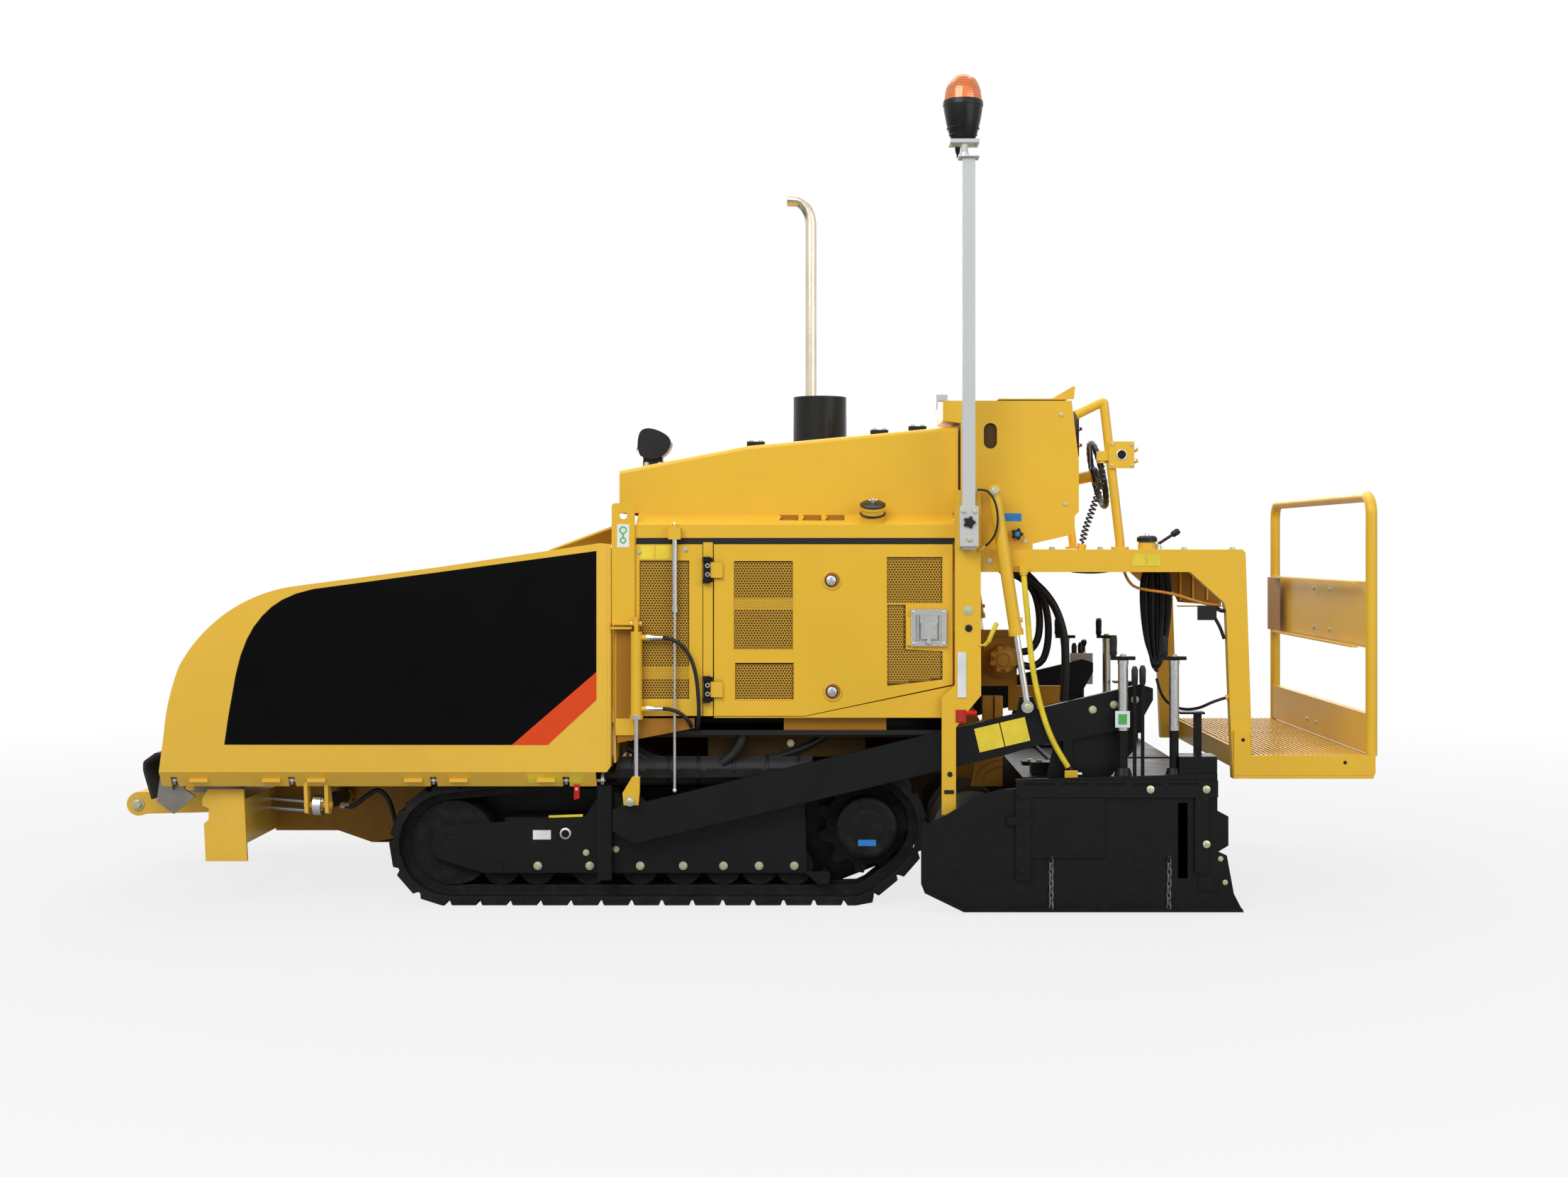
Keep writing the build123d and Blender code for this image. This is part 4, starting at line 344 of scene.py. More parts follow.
def make_materials():
    return {
        "body_yellow": paint("paint_yellow", YELLOW),
        "hopper_yellow": paint("paint_hopper", HOPPER_YELLOW, dust=0.16),
        # painted shade: brown that stands for yellow paint in shade, on the drive parts under the deck
        "body_brown": paint("painted_shade_brown_paint", (0.46, 0.215, 0.020), 0.46, 0.3, 0.08, gloss=0.2, dirt=(0.10, 0.055, 0.02)),
        # painted shade: yellow paint darkened to its look in shade, for recesses and faces that lie in shadow
        "painted_shade_yellow": paint("painted_shade_paint", (0.36, 0.155, 0.012), 0.44, 0.2, 0.08, gloss=0.2, dirt=(0.14, 0.08, 0.03)),
        # painted shade: near-black brown for body and frame faces under the floor and engine, where deep shade falls
        "underside_painted_shade": paint("underside_shade_paint", (0.050, 0.026, 0.006), 0.5, 0.2, 0.0, gloss=0.1, dirt=(0.02, 0.014, 0.008)),
        "frame_black": paint("paint_black", BLACK, 0.36, 0.05, 0.05, gloss=0.14, dirt=(0.06, 0.055, 0.05)),
        "screed_black": paint("paint_black_screed", BLACK, 0.40, 0.07, 0.04, gloss=0.14, dirt=(0.06, 0.055, 0.05)),
        "hood_black": paint("paint_black_hood", BLACK, 0.30, 0.03, 0.1, gloss=0.2, dirt=(0.06, 0.055, 0.05)),
        "mast_grey": paint("paint_grey", GREY, rough=0.4, dust=0.05, coat=0.1),
        "decal_black": paint("decal_black", DECAL_BLACK, 0.34, 0.01, 0.04, 0.0001, gloss=0.05),
        "decal_stripe": paint("decal_stripe", STRIPE, 0.34, 0.02, 0.1, 0.0001, gloss=0.1),
        "track_steel": cast("track_steel", (0.012, 0.0115, 0.011)),
        "running_gear": cast("running_gear", (0.009, 0.009, 0.0085), grit=0.0007),
        "roller_steel": steel("roller_steel", (0.33, 0.31, 0.28), 0.48, stretch=(1, 12, 1)),
        "hopper_steel": steel("hopper_steel", (0.36, 0.33, 0.29), 0.42, stretch=(9, 1, 1), wear=0.45),
        "auger_steel": cast("auger_steel", (0.14, 0.12, 0.10)),
        "engine_iron": cast("engine_iron", (0.17, 0.17, 0.165)),
        "chrome_rod": steel("chrome_rod", (0.80, 0.80, 0.81), 0.16, stretch=(1, 1, 6), grain=90, wear=0.06),
        "exhaust_chrome": steel("exhaust_chrome", (0.70, 0.62, 0.47), 0.2, stretch=(1, 1, 8), wear=0.12),
        "silver": steel("zinc_plate", SILVER, 0.3, grain=140, wear=0.15),
        "bolt": steel("bolt_zinc", (0.62, 0.61, 0.40), 0.34, metallic=0.6, grain=200, wear=0.2),
        "apron_rubber": plastic("apron_rubber", (0.020, 0.020, 0.020), 0.6, 0.0006, 0.1),
        "hose_rubber": plastic("hose_rubber", (0.015, 0.015, 0.016), 0.42, 0.0002),
        "cable_black": plastic("cable_black", (0.012, 0.012, 0.013), 0.34, 0.0001),
        "sleeve_yellow": plastic("sleeve_yellow", SLEEVE_YELLOW, 0.42, 0.0002),
        "wheel_plastic": plastic("wheel_plastic", (0.012, 0.012, 0.013), 0.38, 0.0003),
        "knob_plastic": plastic("knob_plastic", (0.014, 0.014, 0.015), 0.3),
        # black rubber; the same black also stands for painted shadow in the gaps above the doors and in the body's
        # shaded hollows
        "rubber_and_painted_shadow_gap": plastic("rubber_and_painted_shadow_gap", (0.010, 0.010, 0.010), 0.6),
        "label_yellow": plastic("label_yellow", LABEL_YELLOW, 0.36, 0.0001),
        "label_white": plastic("label_white", WHITE, 0.36, 0.0001),
        "label_green": plastic("label_green", (0.10, 0.45, 0.12), 0.36, 0.0001),
        "label_blue": plastic("label_blue", BLUE, 0.36, 0.0001),
        "orange_cable": plastic("orange_cable", (0.62, 0.25, 0.03), 0.4),
        "red_plastic": plastic("red_plastic", RED, 0.3),
        "red_lens": lens("red_lens", (0.70, 0.02, 0.012)),
        "beacon_orange": lens("orange_lens", (0.95, 0.22, 0.008)),
        "beacon_black": plastic("beacon_black", (0.010, 0.010, 0.011), 0.3),
        "lamp_black": plastic("lamp_black", (0.012, 0.012, 0.013), 0.32),
        "lamp_glass": lens("lamp_glass", (0.72, 0.75, 0.76)),
        # painted shade: near-black brown that stands for the shade behind perforated sheets and in openings
        "painted_shade_back": plastic("painted_shade_back", (0.075, 0.040, 0.008), 0.7),
        "mesh_paint": paint("mesh_paint", (0.52, 0.285, 0.024), rough=0.45, dust=0.05, coat=0.1),
        "soot": plastic("soot", (0.006, 0.006, 0.006), 0.9),
        # grey steel for the lock's lobes, also the painted shade of the latch's bowl
        "grey_steel_and_painted_shade": steel("grey_steel_and_painted_shade", (0.42, 0.42, 0.41), 0.42, grain=120, wear=0.3),
    }


# Pieces


def show(mesh, name, body, replaced=()):
    piece = bpy.data.objects.new(name, mesh)
    bpy.context.scene.collection.objects.link(piece)
    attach(piece, body)
    if replaced:
        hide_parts(*replaced)
    return piece


def smooth(mesh, angle=32):
    for face in mesh.polygons:
        face.use_smooth = True
    mesh.set_sharp_from_angle(angle=math.radians(angle))


def rounded(mesh, width, segments=2, angle=32):
    # the mesh with its hard edges rounded
    holder = bpy.data.objects.new("holder", mesh)
    bpy.context.scene.collection.objects.link(holder)
    split = holder.modifiers.new("split", "TRIANGULATE")
    split.min_vertices = 5
    bevel = holder.modifiers.new("edges", "BEVEL")
    bevel.width = width
    bevel.segments = segments
    bevel.limit_method = "ANGLE"
    bevel.angle_limit = math.radians(angle)
    bevel.miter_outer = "MITER_ARC"
    weighted = holder.modifiers.new("normals", "WEIGHTED_NORMAL")
    weighted.keep_sharp = True
    result = bpy.data.meshes.new_from_object(holder.evaluated_get(bpy.context.evaluated_depsgraph_get()))
    bpy.data.objects.remove(holder)
    return result


def node_body(node):
    return frame["nodes"][node]["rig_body"]


def node_slot(node):
    for part in frame["record"]["subparts"]:
        if part["node"] == node:
            return part["material_slot"]
    return None


def dress(node, edge=0.002, repaint=(), slot=None):
    # a node's own form with rounded edges, its slot's finish, and other finishes where a test on a face says so
    slot = slot or node_slot(node)
    mesh = frame["nodes"][node].data.copy()
    work = bmesh.new()
    work.from_mesh(mesh)
    bmesh.ops.remove_doubles(work, verts=work.verts, dist=0.00002)
    bmesh.ops.dissolve_limit(work, angle_limit=math.radians(0.6), verts=work.verts, edges=work.edges)
    work.to_mesh(mesh)
    work.free()
    mesh.materials.clear()
    mesh.materials.append(MATERIALS[slot])
    for finish, test in repaint:
        mesh.materials.append(MATERIALS[finish])
        index = len(mesh.materials) - 1
        for face in mesh.polygons:
            if test(face.center):
                face.material_index = index
    smooth(mesh)
    if edge:
        mesh = rounded(mesh, edge)
    mesh.name = node + "_skin"
    return show(mesh, node + "_skin", node_body(node), [node])


class Shapes:
    # collects simple forms of one or more finishes into a single mesh
    def __init__(self, *finishes):
        self.work = bmesh.new()
        self.finishes = finishes
        self.finish = 0

    def use(self, finish):
        self.finish = self.finishes.index(finish)
        return self

    def _paint(self, faces):
        for face in faces:
            face.material_index = self.finish
            face.smooth = True

    def box(self, x0, x1, y0, y1, z0, z1):
        corners = [self.work.verts.new((x, y, z)) for x in (x0, x1) for y in (y0, y1) for z in (z0, z1)]
        order = ((0, 1, 3, 2), (4, 6, 7, 5), (0, 4, 5, 1), (2, 3, 7, 6), (0, 2, 6, 4), (1, 5, 7, 3))
        self._paint([self.work.faces.new([corners[i] for i in face]) for face in order])
        return self

    def prism(self, rings, closed_ends=True):
        # joins rings of equal count one after another
        loops = [[self.work.verts.new(point) for point in ring] for ring in rings]
        faces = []
        count = len(loops[0])
        for first, second in zip(loops, loops[1:]):
            for i in range(count):
                faces.append(self.work.faces.new((first[i], first[(i + 1) % count], second[(i + 1) % count], second[i])))
        if closed_ends:
            faces.append(self.work.faces.new(list(reversed(loops[0]))))
            faces.append(self.work.faces.new(loops[-1]))
        self._paint(faces)
        return self

    def plate_y(self, points, y0, y1):
        return self.prism([[(x, y, z) for x, z in points] for y in (y0, y1)])

    def plate_x(self, points, x0, x1):
        return self.prism([[(x, y, z) for y, z in points] for x in (x0, x1)])

    def plate_z(self, points, z0, z1):
        return self.prism([[(x, y, z) for x, y in points] for z in (z0, z1)])

    def rod(self, start, end, radius, end_radius=None, sides=20):
        return self.turned(start, end, [(0, radius), (1, radius if end_radius is None else end_radius)], sides)

    def turned(self, start, end, profile, sides=28):
        # turned form along a line, its profile as (share of the way, radius)
        start = Vector(start)
        run = Vector(end) - start
        turn = run.to_track_quat("Z", "Y").to_matrix()
        rings = []
        for share, radius in profile:
            centre = start + run * share
            rings.append([centre + turn @ Vector((radius * math.cos(2 * math.pi * i / sides),
                                                  radius * math.sin(2 * math.pi * i / sides), 0))
                          for i in range(sides)])
        return self.prism(rings)

    def closed(self, rings):
        # joins rings of equal count into a loop that runs back to its first ring
        loops = [[self.work.verts.new(point) for point in ring] for ring in rings]
        faces = []
        for first, second in zip(loops, loops[1:] + loops[:1]):
            for j in range(len(first)):
                k = (j + 1) % len(first)
                faces.append(self.work.faces.new((first[j], second[j], second[k], first[k])))
        self._paint(faces)
        return self

    def ring(self, centre, axis, radius, tube, sides=40, around=12):
        turn = Vector(axis).to_track_quat("Z", "Y").to_matrix()
        rings = []
        for i in range(sides):
            angle = 2 * math.pi * i / sides
            ring = []
            for j in range(around):
                swing = 2 * math.pi * j / around
                reach = radius + tube * math.cos(swing)
                ring.append(Vector(centre) + turn @ Vector((reach * math.cos(angle), reach * math.sin(angle),
                                                            tube * math.sin(swing))))
            rings.append(ring)
        return self.closed(rings)

    def link(self, centre, across, half, bend, wire):
        # one chain link: an upright loop that lies across a direction
        across = Vector(across)
        rings = []
        for i in range(16):
            angle = 2 * math.pi * i / 16
            lift = half - bend if math.sin(angle) > 0.01 else (bend - half if math.sin(angle) < -0.01 else 0)
            out = across * math.cos(angle) + Vector((0, 0, math.sin(angle)))
            side = across.cross(Vector((0, 0, 1)))
            place = Vector(centre) + across * (bend * math.cos(angle)) + Vector((0, 0, bend * math.sin(angle) + lift))
            rings.append([place + (out * math.cos(math.pi * j / 3) + side * math.sin(math.pi * j / 3)) * wire
                          for j in range(6)])
        return self.closed(rings)

    def bolt(self, place, way, radius=0.009, height=0.006):
        # hexagon head on its washer, standing out along a direction
        place = Vector(place)
        way = Vector(way).normalized()
        self.turned(place, place + way * 0.002, [(0, radius * 1.35), (1, radius * 1.35)], 20)
        self.turned(place + way * 0.0021, place + way * (0.0021 + height), [(0, radius), (0.85, radius), (1, radius * 0.85)], 6)
        return self

    def cable(self, points, radius, sides=12, step=0.012):
        # tube along a smooth line through the points
        path = smooth_line(points, step)
        return self.prism(tube_rings(path, [radius] * len(path), sides))

    def piece(self, name, body, slot, edge=0.0, segments=2, replaced=(), angle=32, twin=None, turn_faces=True):
        # the mesh as a piece on a body, and its mirror image on the twin body
        if turn_faces:
            bmesh.ops.recalc_face_normals(self.work, faces=self.work.faces)
        mesh = bpy.data.meshes.new(name)
        self.work.to_mesh(mesh)
        self.work.free()
        for finish in self.finishes:
            mesh.materials.append(MATERIALS[finish])
        other = None
        if twin:
            other = mesh.copy()
            other.transform(Matrix.Scale(-1, 4, (0, 1, 0)))
            other.flip_normals()
            self.finished(other, name + "_right", twin, edge, segments, angle)
        return self.finished(mesh, name, body, edge, segments, angle, replaced)

    def finished(self, mesh, name, body, edge, segments, angle, replaced=()):
        smooth(mesh, angle)
        if edge:
            mesh = rounded(mesh, edge, segments, angle)
        mesh.name = name
        return show(mesh, name, body, replaced)


def smooth_line(points, step):
    # evenly spaced points on a Catmull-Rom line through the given ones
    points = [Vector(point) for point in points]
    points = [points[0] * 2 - points[1]] + points + [points[-1] * 2 - points[-2]]
    line = []
    for a, b, c, d in zip(points, points[1:], points[2:], points[3:]):
        count = max(2, int((c - b).length / step))
        for i in range(count):
            t = i / count
            line.append(((b * 2) + (c - a) * t + (a * 2 - b * 5 + c * 4 - d) * t * t
                         + (b * 3 - a - c * 3 + d) * t ** 3) * 0.5)
    line.append(points[-2])
    return line


def mirrored(points):
    return [(x, -y, z) for x, y, z in points]


# Cords


def spline(name, route, radius, finish, resolution=10):
    # smooth tube whose control points are the route's own points
    data = bpy.data.curves.new(name, "CURVE")
    data.dimensions = "3D"
    data.bevel_depth = radius
    data.bevel_resolution = 5
    data.resolution_u = resolution
    data.use_fill_caps = True
    line = data.splines.new("NURBS")
    line.points.add(len(route) - 1)
    for point, place in zip(line.points, route):
        point.co = (*place, 1)
    line.order_u = 3
    line.use_endpoint_u = True
    data.materials.append(MATERIALS[finish])
    piece = bpy.data.objects.new(name, data)
    bpy.context.scene.collection.objects.link(piece)
    return piece


def spline_points(route):
    # points along a route's smooth line, read from its own curve
    bare = spline("line", route, 0, "cable_black", 24)
    mesh = bpy.data.meshes.new_from_object(bare.evaluated_get(bpy.context.evaluated_depsgraph_get()))
    points = [vertex.co.copy() for vertex in mesh.vertices]
    bpy.data.objects.remove(bare)
    bpy.data.meshes.remove(mesh)
    return points


def length_of(points):
    return sum((b - a).length for a, b in zip(points, points[1:]))


def even_points(points, count):
    # the same line with evenly spaced points
    lengths = [0]
    for a, b in zip(points, points[1:]):
        lengths.append(lengths[-1] + (b - a).length)
    line = []
    index = 0
    for i in range(count):
        goal = lengths[-1] * i / (count - 1)
        while index < len(lengths) - 2 and lengths[index + 1] < goal:
            index += 1
        share = (goal - lengths[index]) / max(1e-9, lengths[index + 1] - lengths[index])
        line.append(points[index].lerp(points[index + 1], min(1, share)))
    return line


def along_line(path):
    # for each point its direction and two sides square to it, carried along without a twist
    frames = []
    side = None
    for index in range(len(path)):
        ahead = (path[min(index + 1, len(path) - 1)] - path[max(index - 1, 0)]).normalized()
        if side is None:
            side = ahead.orthogonal().normalized()
        side = (side - ahead * side.dot(ahead)).normalized()
        frames.append((ahead, side, ahead.cross(side)))
    return frames


def tube_rings(path, radii, sides):
    rings = []
    for point, radius, (ahead, side, other) in zip(path, radii, along_line(path)):
        rings.append([point + (side * math.cos(2 * math.pi * i / sides)
                               + other * math.sin(2 * math.pi * i / sides)) * radius for i in range(sides)])
    return rings


LEAD_ROUTE = [(1.638, -0.668, 0.694), (1.600, -0.660, 0.682), (1.556, -0.640, 0.656), (1.508, -0.600, 0.648),
              (1.472, -0.548, 0.662), (1.452, -0.494, 0.694), (1.446, -0.456, 0.742)]
CURLY_ROUTE = [(1.236, -0.600, 1.478), (1.236, -0.601, 1.434), (1.226, -0.604, 1.386), (1.210, -0.608, 1.340),
               (1.192, -0.610, 1.292), (1.176, -0.611, 1.248), (1.168, -0.611, 1.206)]
SLEEVE_ROUTE = [(0.960, -0.722, 1.104), (0.965, -0.722, 1.040), (0.973, -0.722, 0.966), (0.979, -0.722, 0.882),
                (0.990, -0.722, 0.790), (1.007, -0.722, 0.704), (1.031, -0.722, 0.616), (1.064, -0.722, 0.536),
                (1.106, -0.722, 0.470)]
HYDRAULIC_ROUTE = [(0.838, 1.136), (0.892, 1.132), (0.968, 1.112), (1.042, 1.068), (1.098, 1.000), (1.130, 0.916),
                   (1.140, 0.826), (1.137, 0.738), (1.132, 0.656)]
MAST_CABLE_ROUTE = [(0.804, -0.752, 1.384), (0.826, -0.755, 1.386), (0.850, -0.758, 1.370), (0.866, -0.759, 1.334),
                    (0.872, -0.758, 1.292), (0.868, -0.754, 1.250), (0.852, -0.748, 1.216), (0.832, -0.740, 1.200)]
CURLY_TURNS = 17
CURLY_COIL = 0.0098
CURLY_WIRE = 0.0029
SLEEVE_RIB_PITCH = 0.0075
SLEEVE_RADIUS = 0.0105


def hanging_curve(name, route, radius, finish):
    # cord on one body, as a curve through its own route
    piece = spline(name + "_run", route, radius, finish)
    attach(piece, "tractor")
    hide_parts(name)
    length_of(spline_points(route))


def blended_cord(name, route, radii_at, finish, count):
    # cord that crosses a joint, as a mesh tube along its route's smooth line
    path = even_points(spline_points(route), count)
    shapes = Shapes(finish).prism(tube_rings(path, [radii_at(i) for i in range(count)], 16))
    bmesh.ops.recalc_face_normals(shapes.work, faces=shapes.work.faces)
    mesh = bpy.data.meshes.new(name + "_run")
    shapes.work.to_mesh(mesh)
    shapes.work.free()
    mesh.materials.append(MATERIALS[finish])
    smooth(mesh, 60)
    piece = bpy.data.objects.new(name + "_run", mesh)
    bpy.context.scene.collection.objects.link(piece)
    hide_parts(name)
    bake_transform(piece)
    diameter = 2 * max(radii_at(i) for i in range(count))


def mast_cable():
    # its upper end at the mast, its lower end on the post, as one fixed tube
    route = list(reversed(MAST_CABLE_ROUTE))
    blended_cord("mast_cable", route, lambda i: 0.0035, "cable_black", 60)


def sleeve_hose():
    # corrugated yellow sleeve
    count = 2 * round(length_of(spline_points(SLEEVE_ROUTE)) / SLEEVE_RIB_PITCH) + 1
    blended_cord("sleeve_hose", SLEEVE_ROUTE, lambda i: SLEEVE_RADIUS - (0.0022 if i % 2 else 0), "sleeve_yellow",
                 count)


def curly_cord():
    # a helix round the route's smooth line, straight at both ends
    line = even_points(spline_points(CURLY_ROUTE), 16 * CURLY_TURNS + 33)
    points = []
    for index, (point, (ahead, side, other)) in enumerate(zip(line, along_line(line))):
        turn = 2 * math.pi * (index - 16) / 16
        lead = min(1, min(index, len(line) - 1 - index) / 16)
        reach = CURLY_COIL * lead * lead * (3 - 2 * lead)
        points.append(point + (side * math.cos(turn) + other * math.sin(turn)) * reach)
    piece = spline("curly_cord_run", points, CURLY_WIRE, "cable_black", 3)
    piece.data.bevel_resolution = 3
    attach(piece, "tractor")
    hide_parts("curly_cord")
    length_of(spline_points(points))


def make_cords():
    hanging_curve("hank_lead", LEAD_ROUTE, 0.005, "cable_black")
    for name, y in (("hydraulic_hose_inner", -0.388), ("hydraulic_hose_outer", -0.424)):
        hanging_curve(name, [(x, y, z) for x, z in HYDRAULIC_ROUTE], 0.0120, "hose_rubber")
    curly_cord()
    mast_cable()
    sleeve_hose()
    cable_hank()


HANK_X = 1.446
HANK_Y = -0.450
HANK_TOP_Z = 1.138
HANK_BOTTOM_Z = 0.760
HANK_TURNS = 9
HANK_WIRE = 0.0052


def cable_hank():
    # loose turns over the hook: each is a long drop-shaped loop, a little wider, lower and further back than the last
    points = []
    for turn in range(HANK_TURNS):
        spread_x = 0.004 + 0.0057 * turn
        low = HANK_BOTTOM_Z + 0.007 * ((turn * 2) % HANK_TURNS)
        for step in range(14):
            angle = 2 * math.pi * (step + 0.5) / 14 - math.pi / 2
            share = (turn + step / 14) / HANK_TURNS
            y = HANK_Y + 0.013 * math.sin(2 * math.pi * share * 2.3) + 0.004 * math.cos(3 * angle)
            height = (1 - math.sin(angle)) / 2
            z = low + (HANK_TOP_Z - low) * (1 - height ** 1.15)
            across = math.copysign(abs(math.cos(angle)) ** 0.75, math.cos(angle))
            x = HANK_X + spread_x * across * (1.25 - 0.45 * height)
            points.append((x, y, z))
    piece = spline("cable_hank_run", points, HANK_WIRE, "cable_black", 6)
    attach(piece, "tractor")
    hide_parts("cable_hank")
    length_of(spline_points(points))


# Hopper and front


WING_OUT = 0.7150


def decal():
    # black field with an orange-red corner stripe on the outside of each wing
    y = -WING_OUT
    outline = [(-1.682, 0.543), (-1.668, 0.640), (-1.644, 0.775), (-1.628, 0.838), (-1.607, 0.892),
               (-1.585, 0.932), (-1.557, 0.968), (-1.526, 0.998), (-1.490, 1.022), (-1.445, 1.042), (-1.389, 1.057),
               (-0.452, 1.183), (-0.452, 0.783), (-0.731, 0.542)]
    shapes = Shapes("decal_black", "decal_stripe")
    shapes.plate_y(outline, y - 0.0012, y)
    shapes.use("decal_stripe").plate_y([(-0.452, 0.783), (-0.452, 0.691), (-0.613, 0.542), (-0.731, 0.542)],
                                       y - 0.0012, y)
    shapes.piece("wing_decal", "wing_left", "hopper_yellow", twin="wing_right")


def wing_trim():
    # rolled rear edge, rear corner strap, blank label on the chamfer and the latch handle under it
    shapes = Shapes("hopper_yellow", "label_yellow", "red_plastic", "bolt")
    shapes.rod((-0.411, -0.711, 0.476), (-0.411, -0.711, 1.196), 0.0075, sides=18)
    shapes.use("label_yellow")
    for ends in ((-0.682, -0.5675), (-0.5425, -0.497)):
        shapes.prism([[(x, -0.7120, 0.447), (x, -0.6900, 0.413), (x, -0.6887, 0.4125), (x, -0.7107, 0.4465)]
                      for x in ends])
    shapes.use("red_plastic").prism([[(x, -0.686, 0.408), (x, -0.676, 0.408), (x, -0.676, 0.408 - drop),
                                      (x, -0.686, 0.408 - drop)] for x, drop in ((-0.530, 0.052), (-0.512, 0.046))])
    shapes.use("bolt").bolt((-0.521, -0.6862, 0.392), (0, -1, 0), 0.004, 0.003)
    shapes.piece("wing_trim", "wing_left", "hopper_yellow", edge=0.0008, twin="wing_right")


def front_details():
    # lamp tubes and brackets under the hopper, clevis bolts and the flap's clamping strip
    shapes = Shapes("silver", "bolt", "hose_rubber", "hopper_yellow")
    for y, z in ((-0.330, 0.3045), (-0.330, 0.273)):
        shapes.rod((-1.660, y, z + 0.012), (-1.512, y, z), 0.0095)
    shapes.use("bolt")
    for y in (-0.500, -0.300, -0.100, 0.100, 0.300, 0.500):
        shapes.bolt((-1.8802, y, 0.452), (-1, 0, 0), 0.008)
    shapes.use("silver")
    shapes.box(-1.8842, -1.8805, -0.558, 0.558, 0.430, 0.474)
    shapes.piece("front_fixings", "tractor", "roller_steel", edge=0.0008)
    pins = Shapes("silver", "bolt", "hose_rubber")
    for y in (-0.346, -0.046, 0.046, 0.346):
        way = -1 if y in (-0.346, 0.046) else 1
        pins.use("bolt").bolt((-2.100, y + way * 0.0002, 0.296), (0, way, 0), 0.016, 0.010)
    pins.piece("push_roller_bolts", "tractor", "roller_steel")
    hose = Shapes("hose_rubber", "silver")
    hose.cable([(-1.330, -0.560, 0.322), (-1.296, -0.562, 0.318), (-1.252, -0.560, 0.350), (-1.212, -0.552, 0.372),
                (-1.180, -0.540, 0.340), (-1.165, -0.520, 0.280), (-1.170, -0.460, 0.230), (-1.190, -0.330, 0.222),
                (-1.200, -0.262, 0.224)], 0.008)
    hose.use("silver").turned((-1.336, -0.560, 0.322), (-1.306, -0.561, 0.321),
                              [(0, 0.011), (0.5, 0.011), (0.5, 0.009), (1, 0.009)], 6)
    hose.piece("wing_cylinder_hose", "tractor", "hose_rubber")


# Running gear


def track_bolts():
    # bolts of the ground rollers, greenish caps, grease port and blank plates on the track frames
    y = -0.6332
    shapes = Shapes("bolt", "silver", "label_white", "frame_black", "label_yellow")
    for x in (-0.658, -0.484, -0.315, -0.171, -0.036, 0.083, 0.201):
        shapes.bolt((x, y, 0.129), (0, -1, 0), 0.0105, 0.007)
    for x, z in ((-0.496, 0.173), (-0.396, 0.184)):
        shapes.bolt((x, y, z), (0, -1, 0), 0.008, 0.006)
    shapes.use("label_white").plate_y([(-0.674, 0.217), (-0.614, 0.217), (-0.614, 0.248), (-0.674, 0.248)],
                                      y - 0.0014, y)
    shapes.use("silver").turned((-0.565, y, 0.237), (-0.565, y - 0.006, 0.237),
                                [(0, 0.019), (0.8, 0.019), (1, 0.016)], 28)
    shapes.use("frame_black").turned((-0.565, y - 0.0062, 0.237), (-0.565, y - 0.010, 0.237),
                                     [(0, 0.013), (1, 0.009)], 20)
    shapes.use("label_yellow").plate_y([(-0.621, 0.2895), (-0.507, 0.2935), (-0.507, 0.3015), (-0.621, 0.2975)],
                                       y - 0.0014, y)
    shapes.use("frame_black").plate_y([(-1.000, 0.050), (0.360, 0.050), (0.500, 0.105), (0.575, 0.200), (0.540, 0.320),
                                       (0.360, 0.385), (-0.960, 0.350), (-1.085, 0.200)], -0.4440, -0.4400)
    shapes.piece("track_frame_fixings", "tractor", "running_gear", twin="tractor")


def hub_details():
    # bolt circle and cap on each final drive, with its blank plate
    x, z = 0.444, 0.258
    y = -0.6472
    shapes = Shapes("running_gear", "bolt", "label_blue", "silver")
    shapes.turned((x, y, z), (x, y - 0.006, z), [(0, 0.096), (0.6, 0.096), (1, 0.090)], 48)
    shapes.turned((x, y - 0.0061, z), (x, y - 0.0075, z), [(0, 0.058), (1, 0.054)], 40)
    for i in range(12):
        angle = math.radians(30 * i + 15)
        shapes.turned((x + 0.078 * math.cos(angle), y - 0.0061, z + 0.078 * math.sin(angle)),
                      (x + 0.078 * math.cos(angle), y - 0.0078, z + 0.078 * math.sin(angle)),
                      [(0, 0.009), (0.7, 0.009), (1, 0.0075)], 6)
    shapes.use("label_blue").plate_y([(0.414, 0.198), (0.474, 0.198), (0.474, 0.219), (0.414, 0.219)],
                                     y - 0.0078, y - 0.006)
    shapes.use("bolt").bolt((0.606, -0.6352, 0.193), (0, -1, 0), 0.006, 0.004)
    shapes.piece("hub_fixings", "tractor", "running_gear", edge=0.0006, twin="tractor")


# Body and doors


PERFORATION = 0.0095


def hex_sheet(shapes, x0, x1, z0, z1, y, inside, pitch=PERFORATION, hole=0.36):
    # perforated sheet: rows of hexagonal cells, each with a hole in its middle, kept where a test allows
    rise = pitch * math.sqrt(3) / 2
    outer = pitch / math.sqrt(3)
    rows = int((z1 - z0) / rise)
    for row in range(rows + 1):
        z = z0 + row * rise
        shift = pitch / 2 if row % 2 else 0
        for column in range(int((x1 - x0 - shift) / pitch) + 1):
            x = x0 + shift + column * pitch
            if not inside(x, z):
                continue
            rim = []
            lip = []
            for i in range(6):
                angle = math.radians(60 * i + 30)
                rim.append(shapes.work.verts.new((x + outer * math.cos(angle), y, z + outer * math.sin(angle))))
                lip.append(shapes.work.verts.new((x + pitch * hole * math.cos(angle), y,
                                                  z + pitch * hole * math.sin(angle))))
            shapes._paint([shapes.work.faces.new((rim[i], rim[(i + 1) % 6], lip[(i + 1) % 6], lip[i]))
                           for i in range(6)])


